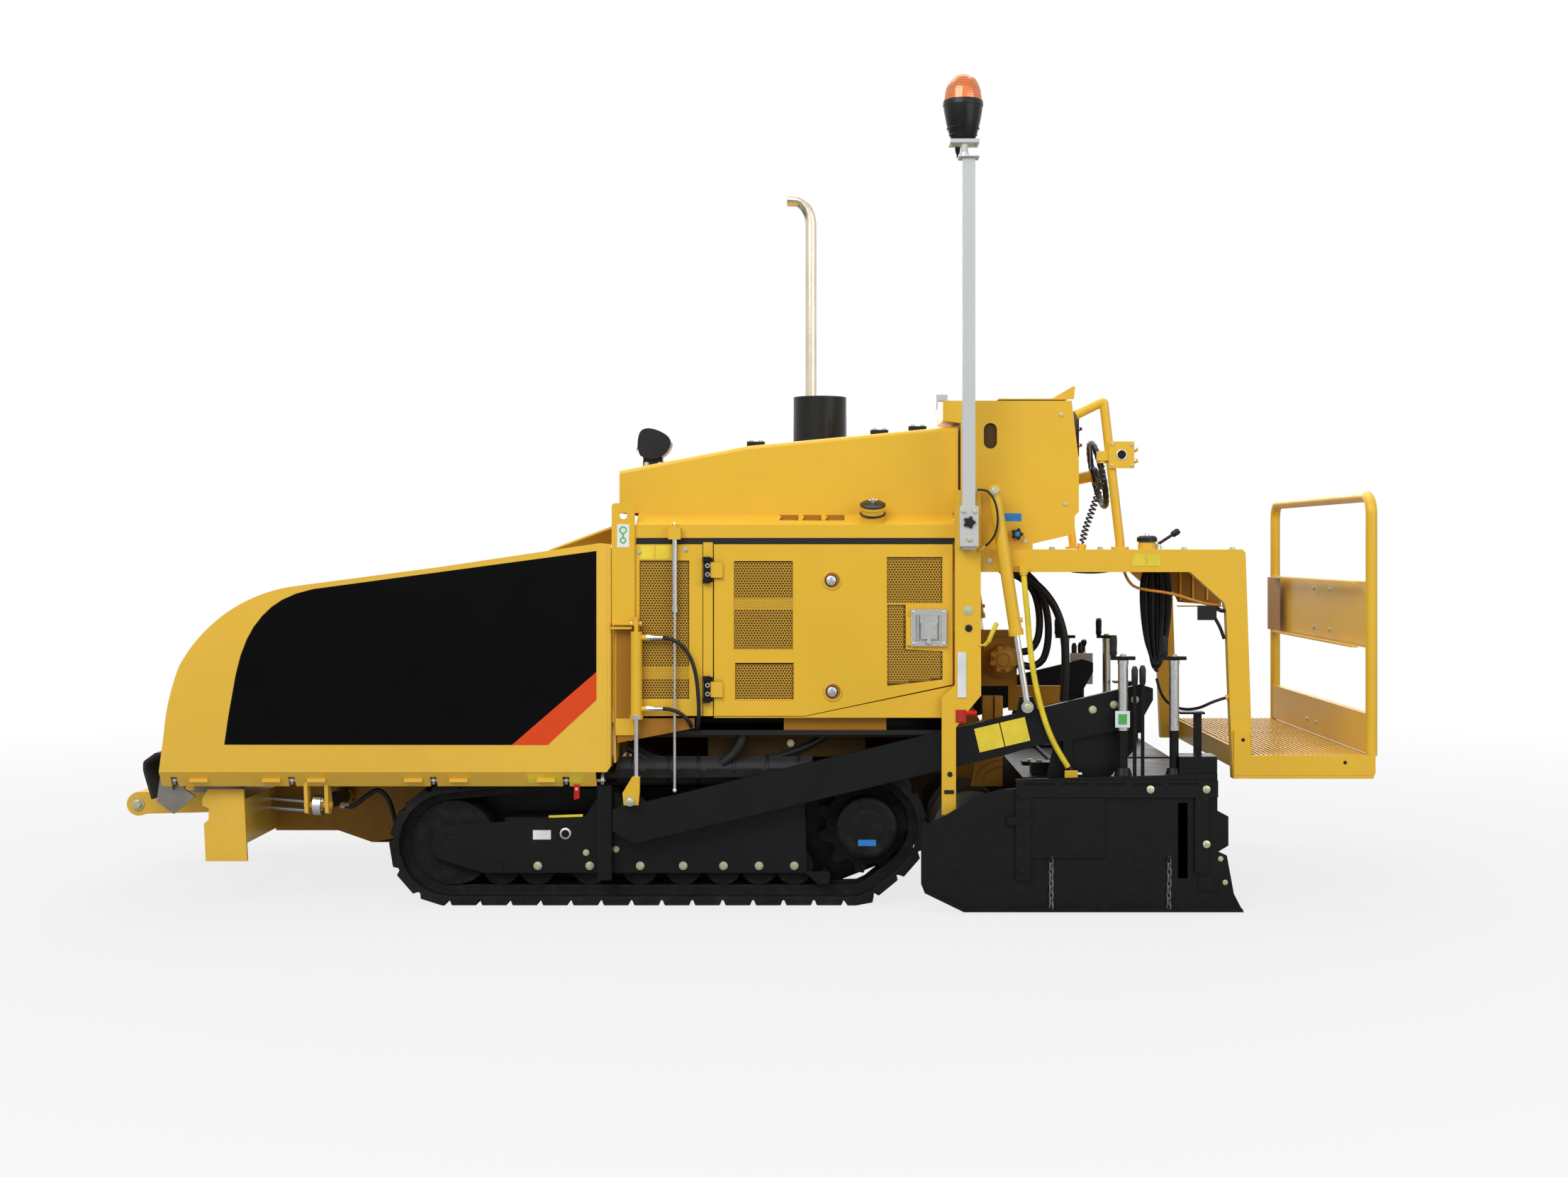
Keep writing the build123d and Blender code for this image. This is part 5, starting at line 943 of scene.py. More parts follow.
def framed_mesh(name, body, x0, x1, z0, z1, y, twin, cut=None, bands=()):
    # perforated sheet behind an opening, with plain bands across it
    shapes = Shapes("mesh_paint", "body_yellow")

    hex_sheet(shapes, x0, x1, z0, z1, y, lambda x, z: not (cut and cut(x, z)))
    bmesh.ops.remove_doubles(shapes.work, verts=shapes.work.verts, dist=0.0004)
    shapes.use("body_yellow")
    for low, high in bands:
        shapes.box(x0 - 0.004, x1 + 0.004, y + 0.0008, y + 0.0022, low, high)
    shapes.piece(name, body, "body_yellow", twin=twin, turn_faces=False)


def door_meshes():
    y = -0.6985
    framed_mesh("door_mesh_upper", "door_left", 0.004, 0.194, 0.861, 1.147, y, "door_right",
                bands=((0.988, 1.026),))
    framed_mesh("door_mesh_lower", "door_left", 0.009, 0.196, 0.695, 0.810, y, "door_right")
    framed_mesh("door_mesh_rear", "door_left", 0.512, 0.690, 1.014, 1.160, y, "door_right")
    framed_mesh("front_mesh", "tractor", -0.307, -0.150, 0.697, 1.147, y, "tractor", bands=((0.760, 0.800),))
    # painted shade: dark plate behind the rear mesh where the body's inside lies in shade
    shade_sheet = Shapes("painted_shade_back")
    shade_sheet.plate_y([(0.510, 0.736), (0.693, 0.757), (0.693, 0.851), (0.571, 0.857), (0.571, 1.005), (0.510, 1.005)],
                    -0.7004, -0.6998)
    shade_sheet.piece("door_mesh_shade_sheet", "door_left", "body_yellow", twin="door_right")
    framed_mesh("door_mesh_corner", "door_left", 0.515, 0.690, 0.741, 0.850, -0.7010, "door_right",
                cut=lambda x, z: z < 0.741 + (x - 0.510) * 0.115)
    framed_mesh("door_mesh_side", "door_left", 0.515, 0.566, 0.857, 1.004, -0.7010, "door_right")


def lock_ring(shapes, x, z, y):
    # round lock in its recess with a three-lobed insert; the recess is a darker disc of painted shade
    shapes.use("body_yellow").ring((x, y - 0.001, z), (0, 1, 0), 0.0285, 0.0035, 36, 10)
    shapes.use("painted_shade_yellow").turned((x, y - 0.0004, z), (x, y - 0.0018, z), [(0, 0.0270), (1, 0.0270)], 32)
    shapes.use("knob_plastic").ring((x - 0.003, y - 0.0020, z), (0, 1, 0), 0.0175, 0.0022, 32, 8)
    shapes.use("silver").turned((x - 0.003, y - 0.0019, z), (x - 0.003, y - 0.0040, z), [(0, 0.0160), (0.7, 0.0160), (1, 0.0145)], 28)
    for i in range(3):
        angle = math.radians(120 * i + 90)
        a = (x - 0.003 + 0.003 * math.cos(angle), y - 0.0044, z + 0.003 * math.sin(angle))
        b = (x - 0.003 + 0.012 * math.cos(angle), y - 0.0044, z + 0.012 * math.sin(angle))
        shapes.use("grey_steel_and_painted_shade").rod(a, b, 0.0026, 0.0022, 10)


def latch(shapes, x0, x1, z0, z1, y):
    # paddle latch: plate, bowl drawn as a darker plate of painted shade, handle, lock barrel and four rivets
    shapes.use("silver").box(x0, x1, y - 0.003, y, z0, z1)
    cx = (x0 + x1) / 2
    cz = (z0 + z1) / 2
    shapes.use("grey_steel_and_painted_shade").box(x0 + 0.016, x1 - 0.016, y - 0.0034, y - 0.0031, z0 + 0.018, z1 - 0.018)
    shapes.use("silver")
    for side in (-1, 1):
        shapes.rod((cx + side * 0.036, y - 0.006, z0 + 0.020), (cx + side * 0.036, y - 0.006, z1 - 0.020), 0.0035, sides=12)
    shapes.box(cx - 0.030, cx + 0.030, y - 0.011, y - 0.0035, z1 - 0.046, z1 - 0.020)
    shapes.box(cx - 0.026, cx + 0.026, y - 0.016, y - 0.008, z0 + 0.024, z1 - 0.046)
    shapes.turned((cx, y - 0.003, z0 + 0.016), (cx, y - 0.0165, z0 + 0.016), [(0, 0.011), (0.8, 0.011), (1, 0.009)], 24)
    for x in (x0 + 0.009, x1 - 0.009):
        for z in (z0 + 0.009, z1 - 0.009):
            shapes.turned((x, y - 0.0031, z), (x, y - 0.0055, z), [(0, 0.004), (0.6, 0.0036), (1, 0.002)], 12)


def door_details():
    y = -0.7000
    shapes = Shapes("body_yellow", "silver", "knob_plastic", "grey_steel_and_painted_shade", "bolt", "painted_shade_yellow")
    lock_ring(shapes, 0.327, 1.085, y)
    lock_ring(shapes, 0.330, 0.716, y)
    latch(shapes, 0.588, 0.706, 0.868, 0.990, y - 0.0102)
    for x0, x1, z0, z1 in ((0.001, 0.198, 0.857, 1.151), (0.005, 0.201, 0.690, 0.814), (0.508, 0.694, 1.010, 1.164)):
        shapes.use("body_yellow")
        for rim in (((x0, z0), (x1, z0)), ((x1, z0), (x1, z1)), ((x1, z1), (x0, z1)), ((x0, z1), (x0, z0))):
            (ax, az), (bx, bz) = rim
            shapes.rod((ax, y - 0.0002, az), (bx, y - 0.0002, bz), 0.0016, sides=8)
    shapes.use("bolt")
    shapes.piece("door_fittings", "door_left", "body_yellow", twin="door_right")
    blocks = Shapes("silver", "knob_plastic")
    for z in (0.725, 1.120):
        for step in (-0.0145, 0.0145):
            blocks.use("silver").turned((-0.084, -0.7200, z + step), (-0.084, -0.7225, z + step), [(0, 0.0082), (1, 0.0074)], 24)
            blocks.use("knob_plastic").turned((-0.084, -0.7226, z + step), (-0.084, -0.7232, z + step), [(0, 0.0046), (1, 0.0046)], 16)
    blocks.piece("door_hinge_bolts", "door_left", "frame_black", twin="door_right")


def door_seals_and_shadow_gaps():
    # black strips above the doors as the painted shadow of the gap under the rail, black rubber round the rear post,
    # and plates in painted shade beside and behind the body
    shapes = Shapes("rubber_and_painted_shadow_gap", "label_yellow", "bolt", "body_yellow", "painted_shade_yellow")
    # painted shadow: black strips for the shadowed gap between the door tops and the rail
    shapes.box(-0.322, 0.726, -0.6990, -0.6860, 1.2056, 1.2116)
    shapes.box(-0.322, 0.7325, -0.7009, -0.6999, 1.2122, 1.2262)
    for z in (0.725, 1.120):
        shapes.box(-0.0992, -0.0682, -0.7007, -0.6999, z - 0.041, z + 0.041)
    shapes.use("body_yellow").plate_y([(-0.064, 0.6340), (0.236, 0.6340), (0.733, 0.7370), (0.733, 0.6305), (-0.064, 0.6305)],
                                      -0.6992, -0.6920)
    # painted shade: darker yellow plates by the front post where the body lies in shade
    shapes.use("painted_shade_yellow").plate_y([(-0.3890, 0.6280), (-0.1290, 0.6280), (-0.1290, 0.5960), (-0.3860, 0.5460)], -0.6950, -0.6900)
    shapes.box(-0.3880, -0.3240, -0.7009, -0.6999, 0.6285, 0.9350)
    # painted shade: black strip over the tray's edge and a black plate inside the body where it lies in shade
    shapes.use("rubber_and_painted_shadow_gap").box(-0.3170, 0.7270, -0.6734, -0.6715, 0.5712, 0.5870)
    shapes.plate_y([(0.150, 0.6300), (0.730, 0.6300), (0.730, 0.7800), (0.150, 0.6600)], -0.6625, -0.6600)
    shapes.use("label_yellow").box(-0.309, -0.262, -0.7012, -0.7001, 1.1560, 1.2010)
    shapes.box(-0.257, -0.210, -0.7012, -0.7001, 1.1560, 1.2010)
    shapes.use("bolt").bolt((-0.159, -0.7002, 1.188), (0, -1, 0), 0.007, 0.005)
    for x, z in ((-0.312, 0.655), (-0.312, 1.180), (-0.112, 0.655)):
        shapes.bolt((x, -0.7002, z), (0, -1, 0), 0.006, 0.004)
    shapes.piece("body_trim_and_shade", "tractor", "body_yellow", twin="tractor")


def under_body():
    # box and a plate in painted shade, hoses and a clamped roll seen between the body and the track
    shapes = Shapes("painted_shade_yellow", "hose_rubber", "bolt", "apron_rubber", "underside_painted_shade")
    # painted shade: darker yellow box where the body's underside lies in shade
    shapes.box(0.167, 0.508, -0.668, -0.420, 0.5868, 0.6290)
    shapes.use("hose_rubber")
    for index, (y, lift) in enumerate(((-0.600, 0.0), (-0.575, 0.012), (-0.548, -0.010))):
        shapes.cable([(-0.360, y, 0.520 + lift), (-0.250, y - 0.010, 0.470 + lift), (-0.100, y, 0.455 + lift),
                      (0.060, y + 0.012, 0.470 + lift), (0.230, y, 0.520 + lift), (0.330, y - 0.004, 0.5740)],
                     0.0115, sides=10, step=0.03)
    shapes.use("apron_rubber").rod((-0.394, -0.600, 0.448), (0.262, -0.600, 0.448), 0.044, sides=28)
    shapes.use("hose_rubber")
    for x in (-0.340, -0.220, -0.120, 0.000, 0.110, 0.215):
        shapes.ring((x, -0.600, 0.448), (1, 0, 0), 0.045, 0.005, 28, 8)
    shapes.use("bolt").bolt((0.188, -0.5930, 0.535), (0, -1, 0), 0.009, 0.006)
    # painted shade: near-black plate behind the hoses
    shapes.use("underside_painted_shade").box(-0.090, 0.440, -0.5930, -0.5880, 0.490, 0.5770)
    shapes.use("hose_rubber").cable([(0.030, -0.640, 0.5770), (0.022, -0.640, 0.540), (0.000, -0.636, 0.505), (-0.040, -0.628, 0.470)],
                                    0.017, sides=16)
    shapes.piece("under_body_lines", "tractor", "hose_rubber", twin="tractor")


def rail_details():
    # filler cap's key and neck bolts, vents' backs in painted shade, caps on the hood
    shapes = Shapes("knob_plastic", "silver", "bolt", "painted_shade_back")
    x, y, z = 0.463, -0.650, 1.276
    lean = math.radians(20)
    way = Vector((0, -math.sin(lean), math.cos(lean)))
    foot = Vector((x, y, z))
    shapes.turned(foot + way * 0.0621, foot + way * 0.071, [(0, 0.043), (0.5, 0.043), (1, 0.035)], 36)
    shapes.use("silver").turned(foot + way * 0.0712, foot + way * 0.088, [(0, 0.0075), (0.7, 0.0075), (1, 0.005)], 16)
    shapes.rod(foot + way * 0.080 + Vector((-0.014, 0, 0)), foot + way * 0.080 + Vector((0.014, 0, 0)), 0.003, sides=10)
    shapes.use("knob_plastic").ring(foot + way * 0.0335, way, 0.0405, 0.0035, 36, 10)
    shapes.piece("filler_cap", "tractor", "lamp_black")
    vents = Shapes("painted_shade_yellow", "body_yellow")
    # painted shade: darker yellow behind the vent slots
    for index in range(3):
        x0 = 0.150 + index * 0.077
        vents.use("painted_shade_yellow").box(x0 + 0.003, x0 + 0.064, -0.628, -0.6255, 1.2856, 1.3036)
    vents.piece("vent_painted_shade", "tractor", "body_yellow", twin="tractor")


def hood_top(x):
    # height of the hood's top at a place along it
    front_x, front_z, knee_x, knee_z, rear_x, rear_z = -0.388, 1.454, 0.037, 1.536, 0.752, 1.604
    if x < knee_x:
        return front_z + (x - front_x) * (knee_z - front_z) / (knee_x - front_x)
    return knee_z + (x - knee_x) * (rear_z - knee_z) / (rear_x - knee_x)


def hood_details():
    # rubber-faced clamps, shroud's foot ring, rain edge and the work light's bolts and lens
    shapes = Shapes("rubber_and_painted_shadow_gap", "bolt", "silver", "lamp_glass", "body_yellow")
    for x in (0.070, 0.488, 0.617):
        for y in (-0.560, 0.560):
            z = hood_top(x)
            shapes.use("rubber_and_painted_shadow_gap").box(x - 0.030, x + 0.030, y - 0.016, y + 0.016, z - 0.004, z + 0.013)
            for dx in (-0.016, 0.016):
                shapes.use("bolt").bolt((x + dx, y, z + 0.0131), (0, 0, 1), 0.0065, 0.004)
    shapes.use("silver").ring((0.287, 0, 1.5605 + 0.002), (0, 0, 1), 0.0990, 0.0045, 56, 10)
    shapes.piece("hood_fixings", "tractor", "body_yellow", edge=0.0008)
    light = Shapes("bolt", "lamp_glass", "knob_plastic")
    top = hood_top(-0.280)
    for dx in (-0.028, 0.018):
        light.use("bolt").bolt((-0.280 + dx, -0.4802, top + 0.004), (0, -1, 0), 0.0065, 0.004)
    light.use("lamp_glass").turned((-0.3318, -0.450, top + 0.080), (-0.3372, -0.450, top + 0.082),
                                   [(0, 0.032), (0.5, 0.030), (1, 0.018)], 32)
    light.piece("work_light_fittings", "tractor", "lamp_black")


def exhaust():
    # bent pipe with its open, slant-cut mouth, and the collar it stands in
    path = smooth_line([(0.254, 0, 1.700), (0.254, 0, 1.900), (0.254, 0, 2.130), (0.254, 0, 2.340),
                        (0.252, 0, 2.402), (0.236, 0, 2.444), (0.208, 0, 2.468), (0.166, 0, 2.4712)], 0.012)
    count = len(path)
    shapes = Shapes("exhaust_chrome", "soot", "hood_black")
    rings = tube_rings(path, [0.0215] * count, 32)
    inner = tube_rings(path[-8:], [0.0195] * 8, 32)
    shapes.prism(rings, closed_ends=False)
    shapes.use("soot").prism(list(reversed(inner)), closed_ends=False)
    shapes.use("exhaust_chrome").prism([rings[-1], inner[-1]], closed_ends=False)
    shapes.use("soot").prism([inner[0], [p.lerp(sum(inner[0], Vector()) / 32, 0.98) for p in inner[0]]])
    shapes.use("hood_black").ring((0.254, 0, 1.7452), (0, 0, 1), 0.026, 0.004, 36, 10)
    shapes.piece("exhaust_stack", "tractor", "exhaust_chrome", replaced=("exhaust_pipe",))


def lifting_details():
    shapes = Shapes("label_white", "label_green", "body_yellow", "bolt", "silver")
    y = -0.7122
    shapes.plate_y([(-0.384, 1.195), (-0.344, 1.195), (-0.344, 1.272), (-0.384, 1.272)], y - 0.0012, y)
    shapes.use("label_green").ring((-0.364, y - 0.0013, 1.252), (0, 1, 0), 0.0105, 0.0022, 28, 8)
    shapes.ring((-0.364, y - 0.0013, 1.218), (0, 1, 0), 0.0085, 0.0022, 28, 8)
    shapes.box(-0.3665, -0.3615, y - 0.0024, y - 0.0010, 1.226, 1.243)
    shapes.use("body_yellow").box(-0.402, -0.334, -0.7330, -0.7002, 0.9255, 0.9320)
    shapes.piece("lifting_plate_trim", "tractor", "body_yellow", twin="tractor")


def tow_cylinder_details():
    # port fittings, hoses that run back under the body, and bolts of the fork and tab
    for side, sign in (("left", -1), ("right", 1)):
        y = 0.722 * sign
        shapes = Shapes("silver", "hose_rubber", "bolt")
        for z, drop in ((0.897, 0.900), (0.662, 0.664)):
            shapes.use("silver").turned((-0.286, y, z), (-0.262, y, z), [(0, 0.0105), (0.5, 0.0105), (0.5, 0.008), (1, 0.008)], 6)
            shapes.turned((-0.262, y, z), (-0.232, y, z), [(0, 0.0075), (1, 0.0066)], 20)
        shapes.use("hose_rubber")
        shapes.cable([(-0.236, y, 0.897), (-0.206, y, 0.892), (-0.170, y * 1.004, 0.872), (-0.140, y * 1.006, 0.830),
                      (-0.122, y * 1.006, 0.770), (-0.114, y * 1.004, 0.690), (-0.114, y * 0.99, 0.630),
                      (-0.120, y * 0.955, 0.596), (-0.130, y * 0.90, 0.586)], 0.0065)
        shapes.cable([(-0.236, y, 0.662), (-0.210, y, 0.660), (-0.180, y, 0.650), (-0.152, y * 0.995, 0.628),
                      (-0.140, y * 0.965, 0.602), (-0.144, y * 0.91, 0.590)], 0.0065)
        shapes.use("bolt").bolt((-0.338, y + sign * 0.0202, 0.359), (0, sign, 0), 0.012, 0.006)
        shapes.bolt((-0.319 - 0.0142, y, 0.943), (-1, 0, 0), 0.008, 0.005)
        shapes.piece("tow_cylinder_lines_" + side, "tractor", "hose_rubber")
    rod = Shapes("silver", "label_white")
    rod.turned((-0.193, -0.718, 0.980), (-0.193, -0.718, 1.000), [(0, 0.0105), (1, 0.0105)], 20)
    rod.turned((-0.193, -0.718, 1.268), (-0.193, -0.718, 1.279), [(0, 0.0062), (0.5, 0.0062), (1, 0.003)], 16)
    rod.piece("height_rod_fittings", "tractor", "mast_grey")


# Rear posts, mast and beacon


def post_details():
    y = -0.7252
    shapes = Shapes("label_white", "red_lens", "red_plastic", "bolt", "rubber_and_painted_shadow_gap", "silver")
    shapes.box(0.741, 0.770, y - 0.004, y, 0.700, 0.849)
    shapes.use("red_plastic").box(0.7350, 0.7690, y - 0.003, y, 0.617, 0.659)
    shapes.use("red_lens").box(0.7395, 0.7615, y - 0.0055, y - 0.0031, 0.6215, 0.6545)
    shapes.use("red_plastic").turned((0.7660, -0.7185, 0.648), (0.8050, -0.7185, 0.648), [(0, 0.0095), (0.85, 0.0095), (1, 0.007)], 28)
    shapes.use("bolt").bolt((0.776, y, 0.987), (0, -1, 0), 0.0125, 0.0035)
    shapes.use("rubber_and_painted_shadow_gap").turned((0.778, y, 0.928), (0.778, y - 0.0045, 0.928), [(0, 0.012), (0.6, 0.012), (1, 0.008)], 24)
    shapes.turned((0.716, y, 0.446), (0.716, y - 0.003, 0.446), [(0, 0.009), (1, 0.008)], 20)
    shapes.box(0.697, 0.729, y - 0.003, y, 0.382, 0.394)
    shapes.piece("post_reflectors", "tractor", "body_yellow", edge=0.0008, twin="tractor")


def star_knob(shapes, place, way, cap=None, rise=1.0):
    # five-lobed knob on its stud
    place = Vector(place)
    way = Vector(way).normalized()
    turn = way.to_track_quat("Z", "Y").to_matrix()
    shapes.use("silver").rod(place, place + way * 0.012 * rise, 0.004, sides=12)
    rings = []
    for lift, size in ((0.008, 0.84), (0.012, 1.0), (0.022, 1.0), (0.027, 0.8)):
        ring = []
        for i in range(40):
            angle = 2 * math.pi * i / 40
            reach = size * (0.0175 + 0.0035 * math.cos(5 * angle))
            ring.append(place + way * lift * rise + turn @ Vector((reach * math.cos(angle), reach * math.sin(angle), 0)))
        rings.append(ring)
    shapes.use("knob_plastic").prism(rings)
    if cap:
        shapes.use(cap).turned(place + way * 0.0272, place + way * 0.0292, [(0, 0.0085), (0.6, 0.008), (1, 0.005)], 20)


def mast_details():
    shapes = Shapes("silver", "knob_plastic", "bolt", "mast_grey")
    shapes.use("mast_grey").box(0.7445, 0.8055, -0.7870, -0.7841, 1.1990, 1.3270)
    star_knob(shapes, (0.775, -0.7871, 1.277), (0, -1, 0), rise=0.3)
    shapes.use("bolt").bolt((0.775, -0.7871, 1.222), (0, -1, 0), 0.0075, 0.005)
    for x in (0.757, 0.793):
        shapes.bolt((x, -0.7871, 1.312), (0, -1, 0), 0.0055, 0.004)
    shapes.piece("mast_clamp", "tractor", "mast_grey", edge=0.0006)
    top = Shapes("mast_grey", "bolt", "cable_black", "silver")
    top.use("silver").box(0.741, 0.809, -0.786, -0.718, 2.4732, 2.4778)
    top.turned((0.762, -0.752, 2.4779), (0.762, -0.752, 2.4900), [(0, 0.017), (1, 0.0145)], 28)
    for x in (0.722, 0.802):
        top.use("bolt").bolt((x, -0.742, 2.5218), (0, 0, -1), 0.006, 0.005)
    top.use("cable_black").turned((0.744, -0.690, 2.5218), (0.744, -0.690, 2.500), [(0, 0.009), (0.4, 0.009), (1, 0.006)], 16)
    top.cable([(0.744, -0.690, 2.503), (0.744, -0.690, 2.488), (0.750, -0.706, 2.478), (0.760, -0.728, 2.4715),
               (0.772, -0.7305, 2.440), (0.776, -0.7305, 2.400)], 0.0035, sides=10)
    top.piece("mast_head_fittings", "mast", "mast_grey")


def beacon():
    # tapering black cup with a ribbed rim and an egg-shaped dome round a reflector
    x, y = 0.760, -0.716
    shapes = Shapes("beacon_black", "beacon_orange")
    cup = [(0.0, 0.036), (0.05, 0.040), (0.20, 0.0475), (0.45, 0.0560), (0.70, 0.0625), (0.86, 0.0655),
           (0.87, 0.0672), (0.97, 0.0672), (1.0, 0.0655)]
    shapes.turned((x, y, 2.5345), (x, y, 2.6690), cup, 64)
    for share in (0.16, 0.32):
        z = 2.5345 + share * 0.1345
        shapes.ring((x, y, z), (0, 0, 1), 0.0455 if share < 0.2 else 0.0525, 0.0022, 56, 8)
    dome = []
    for i in range(25):
        angle = math.pi / 2 * i / 24
        dome.append((math.sin(angle), 0.0640 * math.cos(angle) ** 0.86 if i < 24 else 0.0004))
    shapes.use("beacon_orange").turned((x, y, 2.6692), (x, y, 2.7632), dome, 64)
    shapes.piece("beacon_lamp", "mast", "beacon_orange", replaced=("beacon",), angle=40)


# Operator's place


def console_details():
    y = -0.6200
    shapes = Shapes("body_yellow", "frame_black", "silver", "knob_plastic", "label_blue", "bolt", "painted_shade_back")
    shapes.use("frame_black").box(0.897, 1.108, y + 0.003, -0.293, 1.6872, 1.6905)
    shapes.use("body_yellow")
    shapes.box(0.884, 1.120, y + 0.004, -0.294, 1.6906, 1.6940)
    shapes.prism([[(1.066, yy, 1.6942), (1.142, yy, 1.6942), (1.146, yy, 1.7360), (1.140, yy, 1.7370)]
                  for yy in (-0.600, -0.590)])
    shapes.prism([[(1.066, yy, 1.6942), (1.142, yy, 1.6942), (1.146, yy, 1.7360), (1.140, yy, 1.7370)]
                  for yy in (-0.330, -0.320)])
    shapes.use("silver").box(0.677, 0.716, y + 0.010, y + 0.070, 1.6880, 1.7080)
    shapes.box(0.677, 0.683, y + 0.010, y + 0.070, 1.660, 1.688)
    shapes.use("body_yellow").ring((0.859, y - 0.0002, 1.590), (0, 1, 0), 0.0001, 0.00005, 8, 4)
    # painted shade: dark plate in the console's shaded opening
    shapes.use("painted_shade_back").box(0.834, 0.884, y + 0.0101, y + 0.0112, 1.522, 1.616)
    shapes.use("bolt").bolt((0.863, y - 0.0002, 1.390), (0, -1, 0), 0.010, 0.006)
    for x, z in ((0.800, 1.640), (1.096, 1.640), (1.110, 1.340), (0.800, 1.220), (0.975, 1.215)):
        shapes.bolt((x, y - 0.0002, z), (0, -1, 0), 0.0055, 0.004)
    shapes.use("label_blue").plate_y([(0.906, 1.283), (0.963, 1.283), (0.963, 1.309), (0.906, 1.309)], y - 0.0014, y)
    star_knob(shapes, (0.947, y - 0.001, 1.239), (0, -1, 0), "label_blue")
    shapes.piece("console_fittings", "tractor", "body_yellow", edge=0.0006)


def console_face():
    # panel with dials, switches and levers that faces the operator
    shapes = Shapes("knob_plastic", "silver", "red_plastic", "frame_black")
    x = 1.1562
    shapes.use("frame_black").box(x - 0.0002, x + 0.003, -0.600, -0.310, 1.500, 1.660)
    for row in range(2):
        for index in range(5):
            y = -0.575 + index * 0.058
            z = 1.540 + row * 0.055
            shapes.use("silver").turned((x + 0.003, y, z), (x + 0.007, y, z), [(0, 0.010), (1, 0.009)], 16)
            shapes.use("knob_plastic" if (index + row) % 4 else "red_plastic")
            shapes.turned((x + 0.007, y, z), (x + 0.016, y, z), [(0, 0.0065), (1, 0.0055)], 16)
    shapes.piece("console_switches", "tractor", "frame_black", edge=0.0005)


def steering_details():
    # soft rim with finger grips, three dished spokes and a hub cap
    lean = math.radians(12.4)
    way = Vector((math.cos(lean), 0, math.sin(lean)))
    centre = Vector((1.251, -0.400, 1.447))
    turn = way.to_track_quat("Z", "Y").to_matrix()
    shapes = Shapes("wheel_plastic", "silver", "knob_plastic")
    rings = []
    for i in range(96):
        angle = 2 * math.pi * i / 96
        tube = 0.0105 + 0.0007 * math.cos(24 * angle)
        rings.append([centre + turn @ Vector(((0.111 + tube * math.cos(2 * math.pi * j / 14)) * math.cos(angle),
                                              (0.111 + tube * math.cos(2 * math.pi * j / 14)) * math.sin(angle),
                                              tube * math.sin(2 * math.pi * j / 14))) for j in range(14)])
    rings.append(rings[0])
    shapes.closed(rings)
    for angle in (90, 210, 330):
        a = math.radians(angle)
        way_out = turn @ Vector((math.cos(a), math.sin(a), 0))
        square = turn @ Vector((-math.sin(a), math.cos(a), 0))
        spoke = []
        for reach, dip, wide in ((0.018, -0.016, 0.013), (0.050, -0.013, 0.010), (0.085, -0.005, 0.009), (0.106, 0.0, 0.011)):
            middle = centre + way_out * reach + way * dip
            spoke.append([middle + square * wide + way * 0.003, middle - square * wide + way * 0.003,
                          middle - square * wide - way * 0.003, middle + square * wide - way * 0.003])
        shapes.prism(spoke)
    shapes.turned(centre - way * 0.024, centre + way * 0.006, [(0, 0.026), (0.2, 0.030), (0.75, 0.028), (0.95, 0.018), (1, 0.010)], 40)
    shapes.use("silver").turned(centre + way * 0.0061, centre + way * 0.008, [(0, 0.009), (1, 0.007)], 20)
    shapes.piece("steering_rim", "steering_wheel", "wheel_plastic", replaced=("steering_wheel",))


def socket_details():
    shapes = Shapes("silver", "body_yellow", "bolt", "frame_black")
    for z in (1.486, 1.524):
        shapes.use("silver").turned((1.3402, -0.600, z), (1.3500, -0.600, z), [(0, 0.0105), (1, 0.0095)], 20)
    shapes.use("body_yellow").box(1.2565, 1.3415, -0.6245, -0.6225, 1.4600, 1.5500)
    for x in (1.266, 1.332):
        for z in (1.470, 1.540):
            shapes.use("bolt").bolt((x, -0.6246, z), (0, -1, 0), 0.0042, 0.003)
    shapes.use("silver").ring((1.299, -0.6247, 1.505), (0, 1, 0), 0.016, 0.0025, 32, 8)
    shapes.use("frame_black").turned((1.299, -0.6246, 1.505), (1.299, -0.6275, 1.505), [(0, 0.0145), (1, 0.0125)], 28)
    shapes.piece("socket_fittings", "tractor", "body_yellow", edge=0.0005)


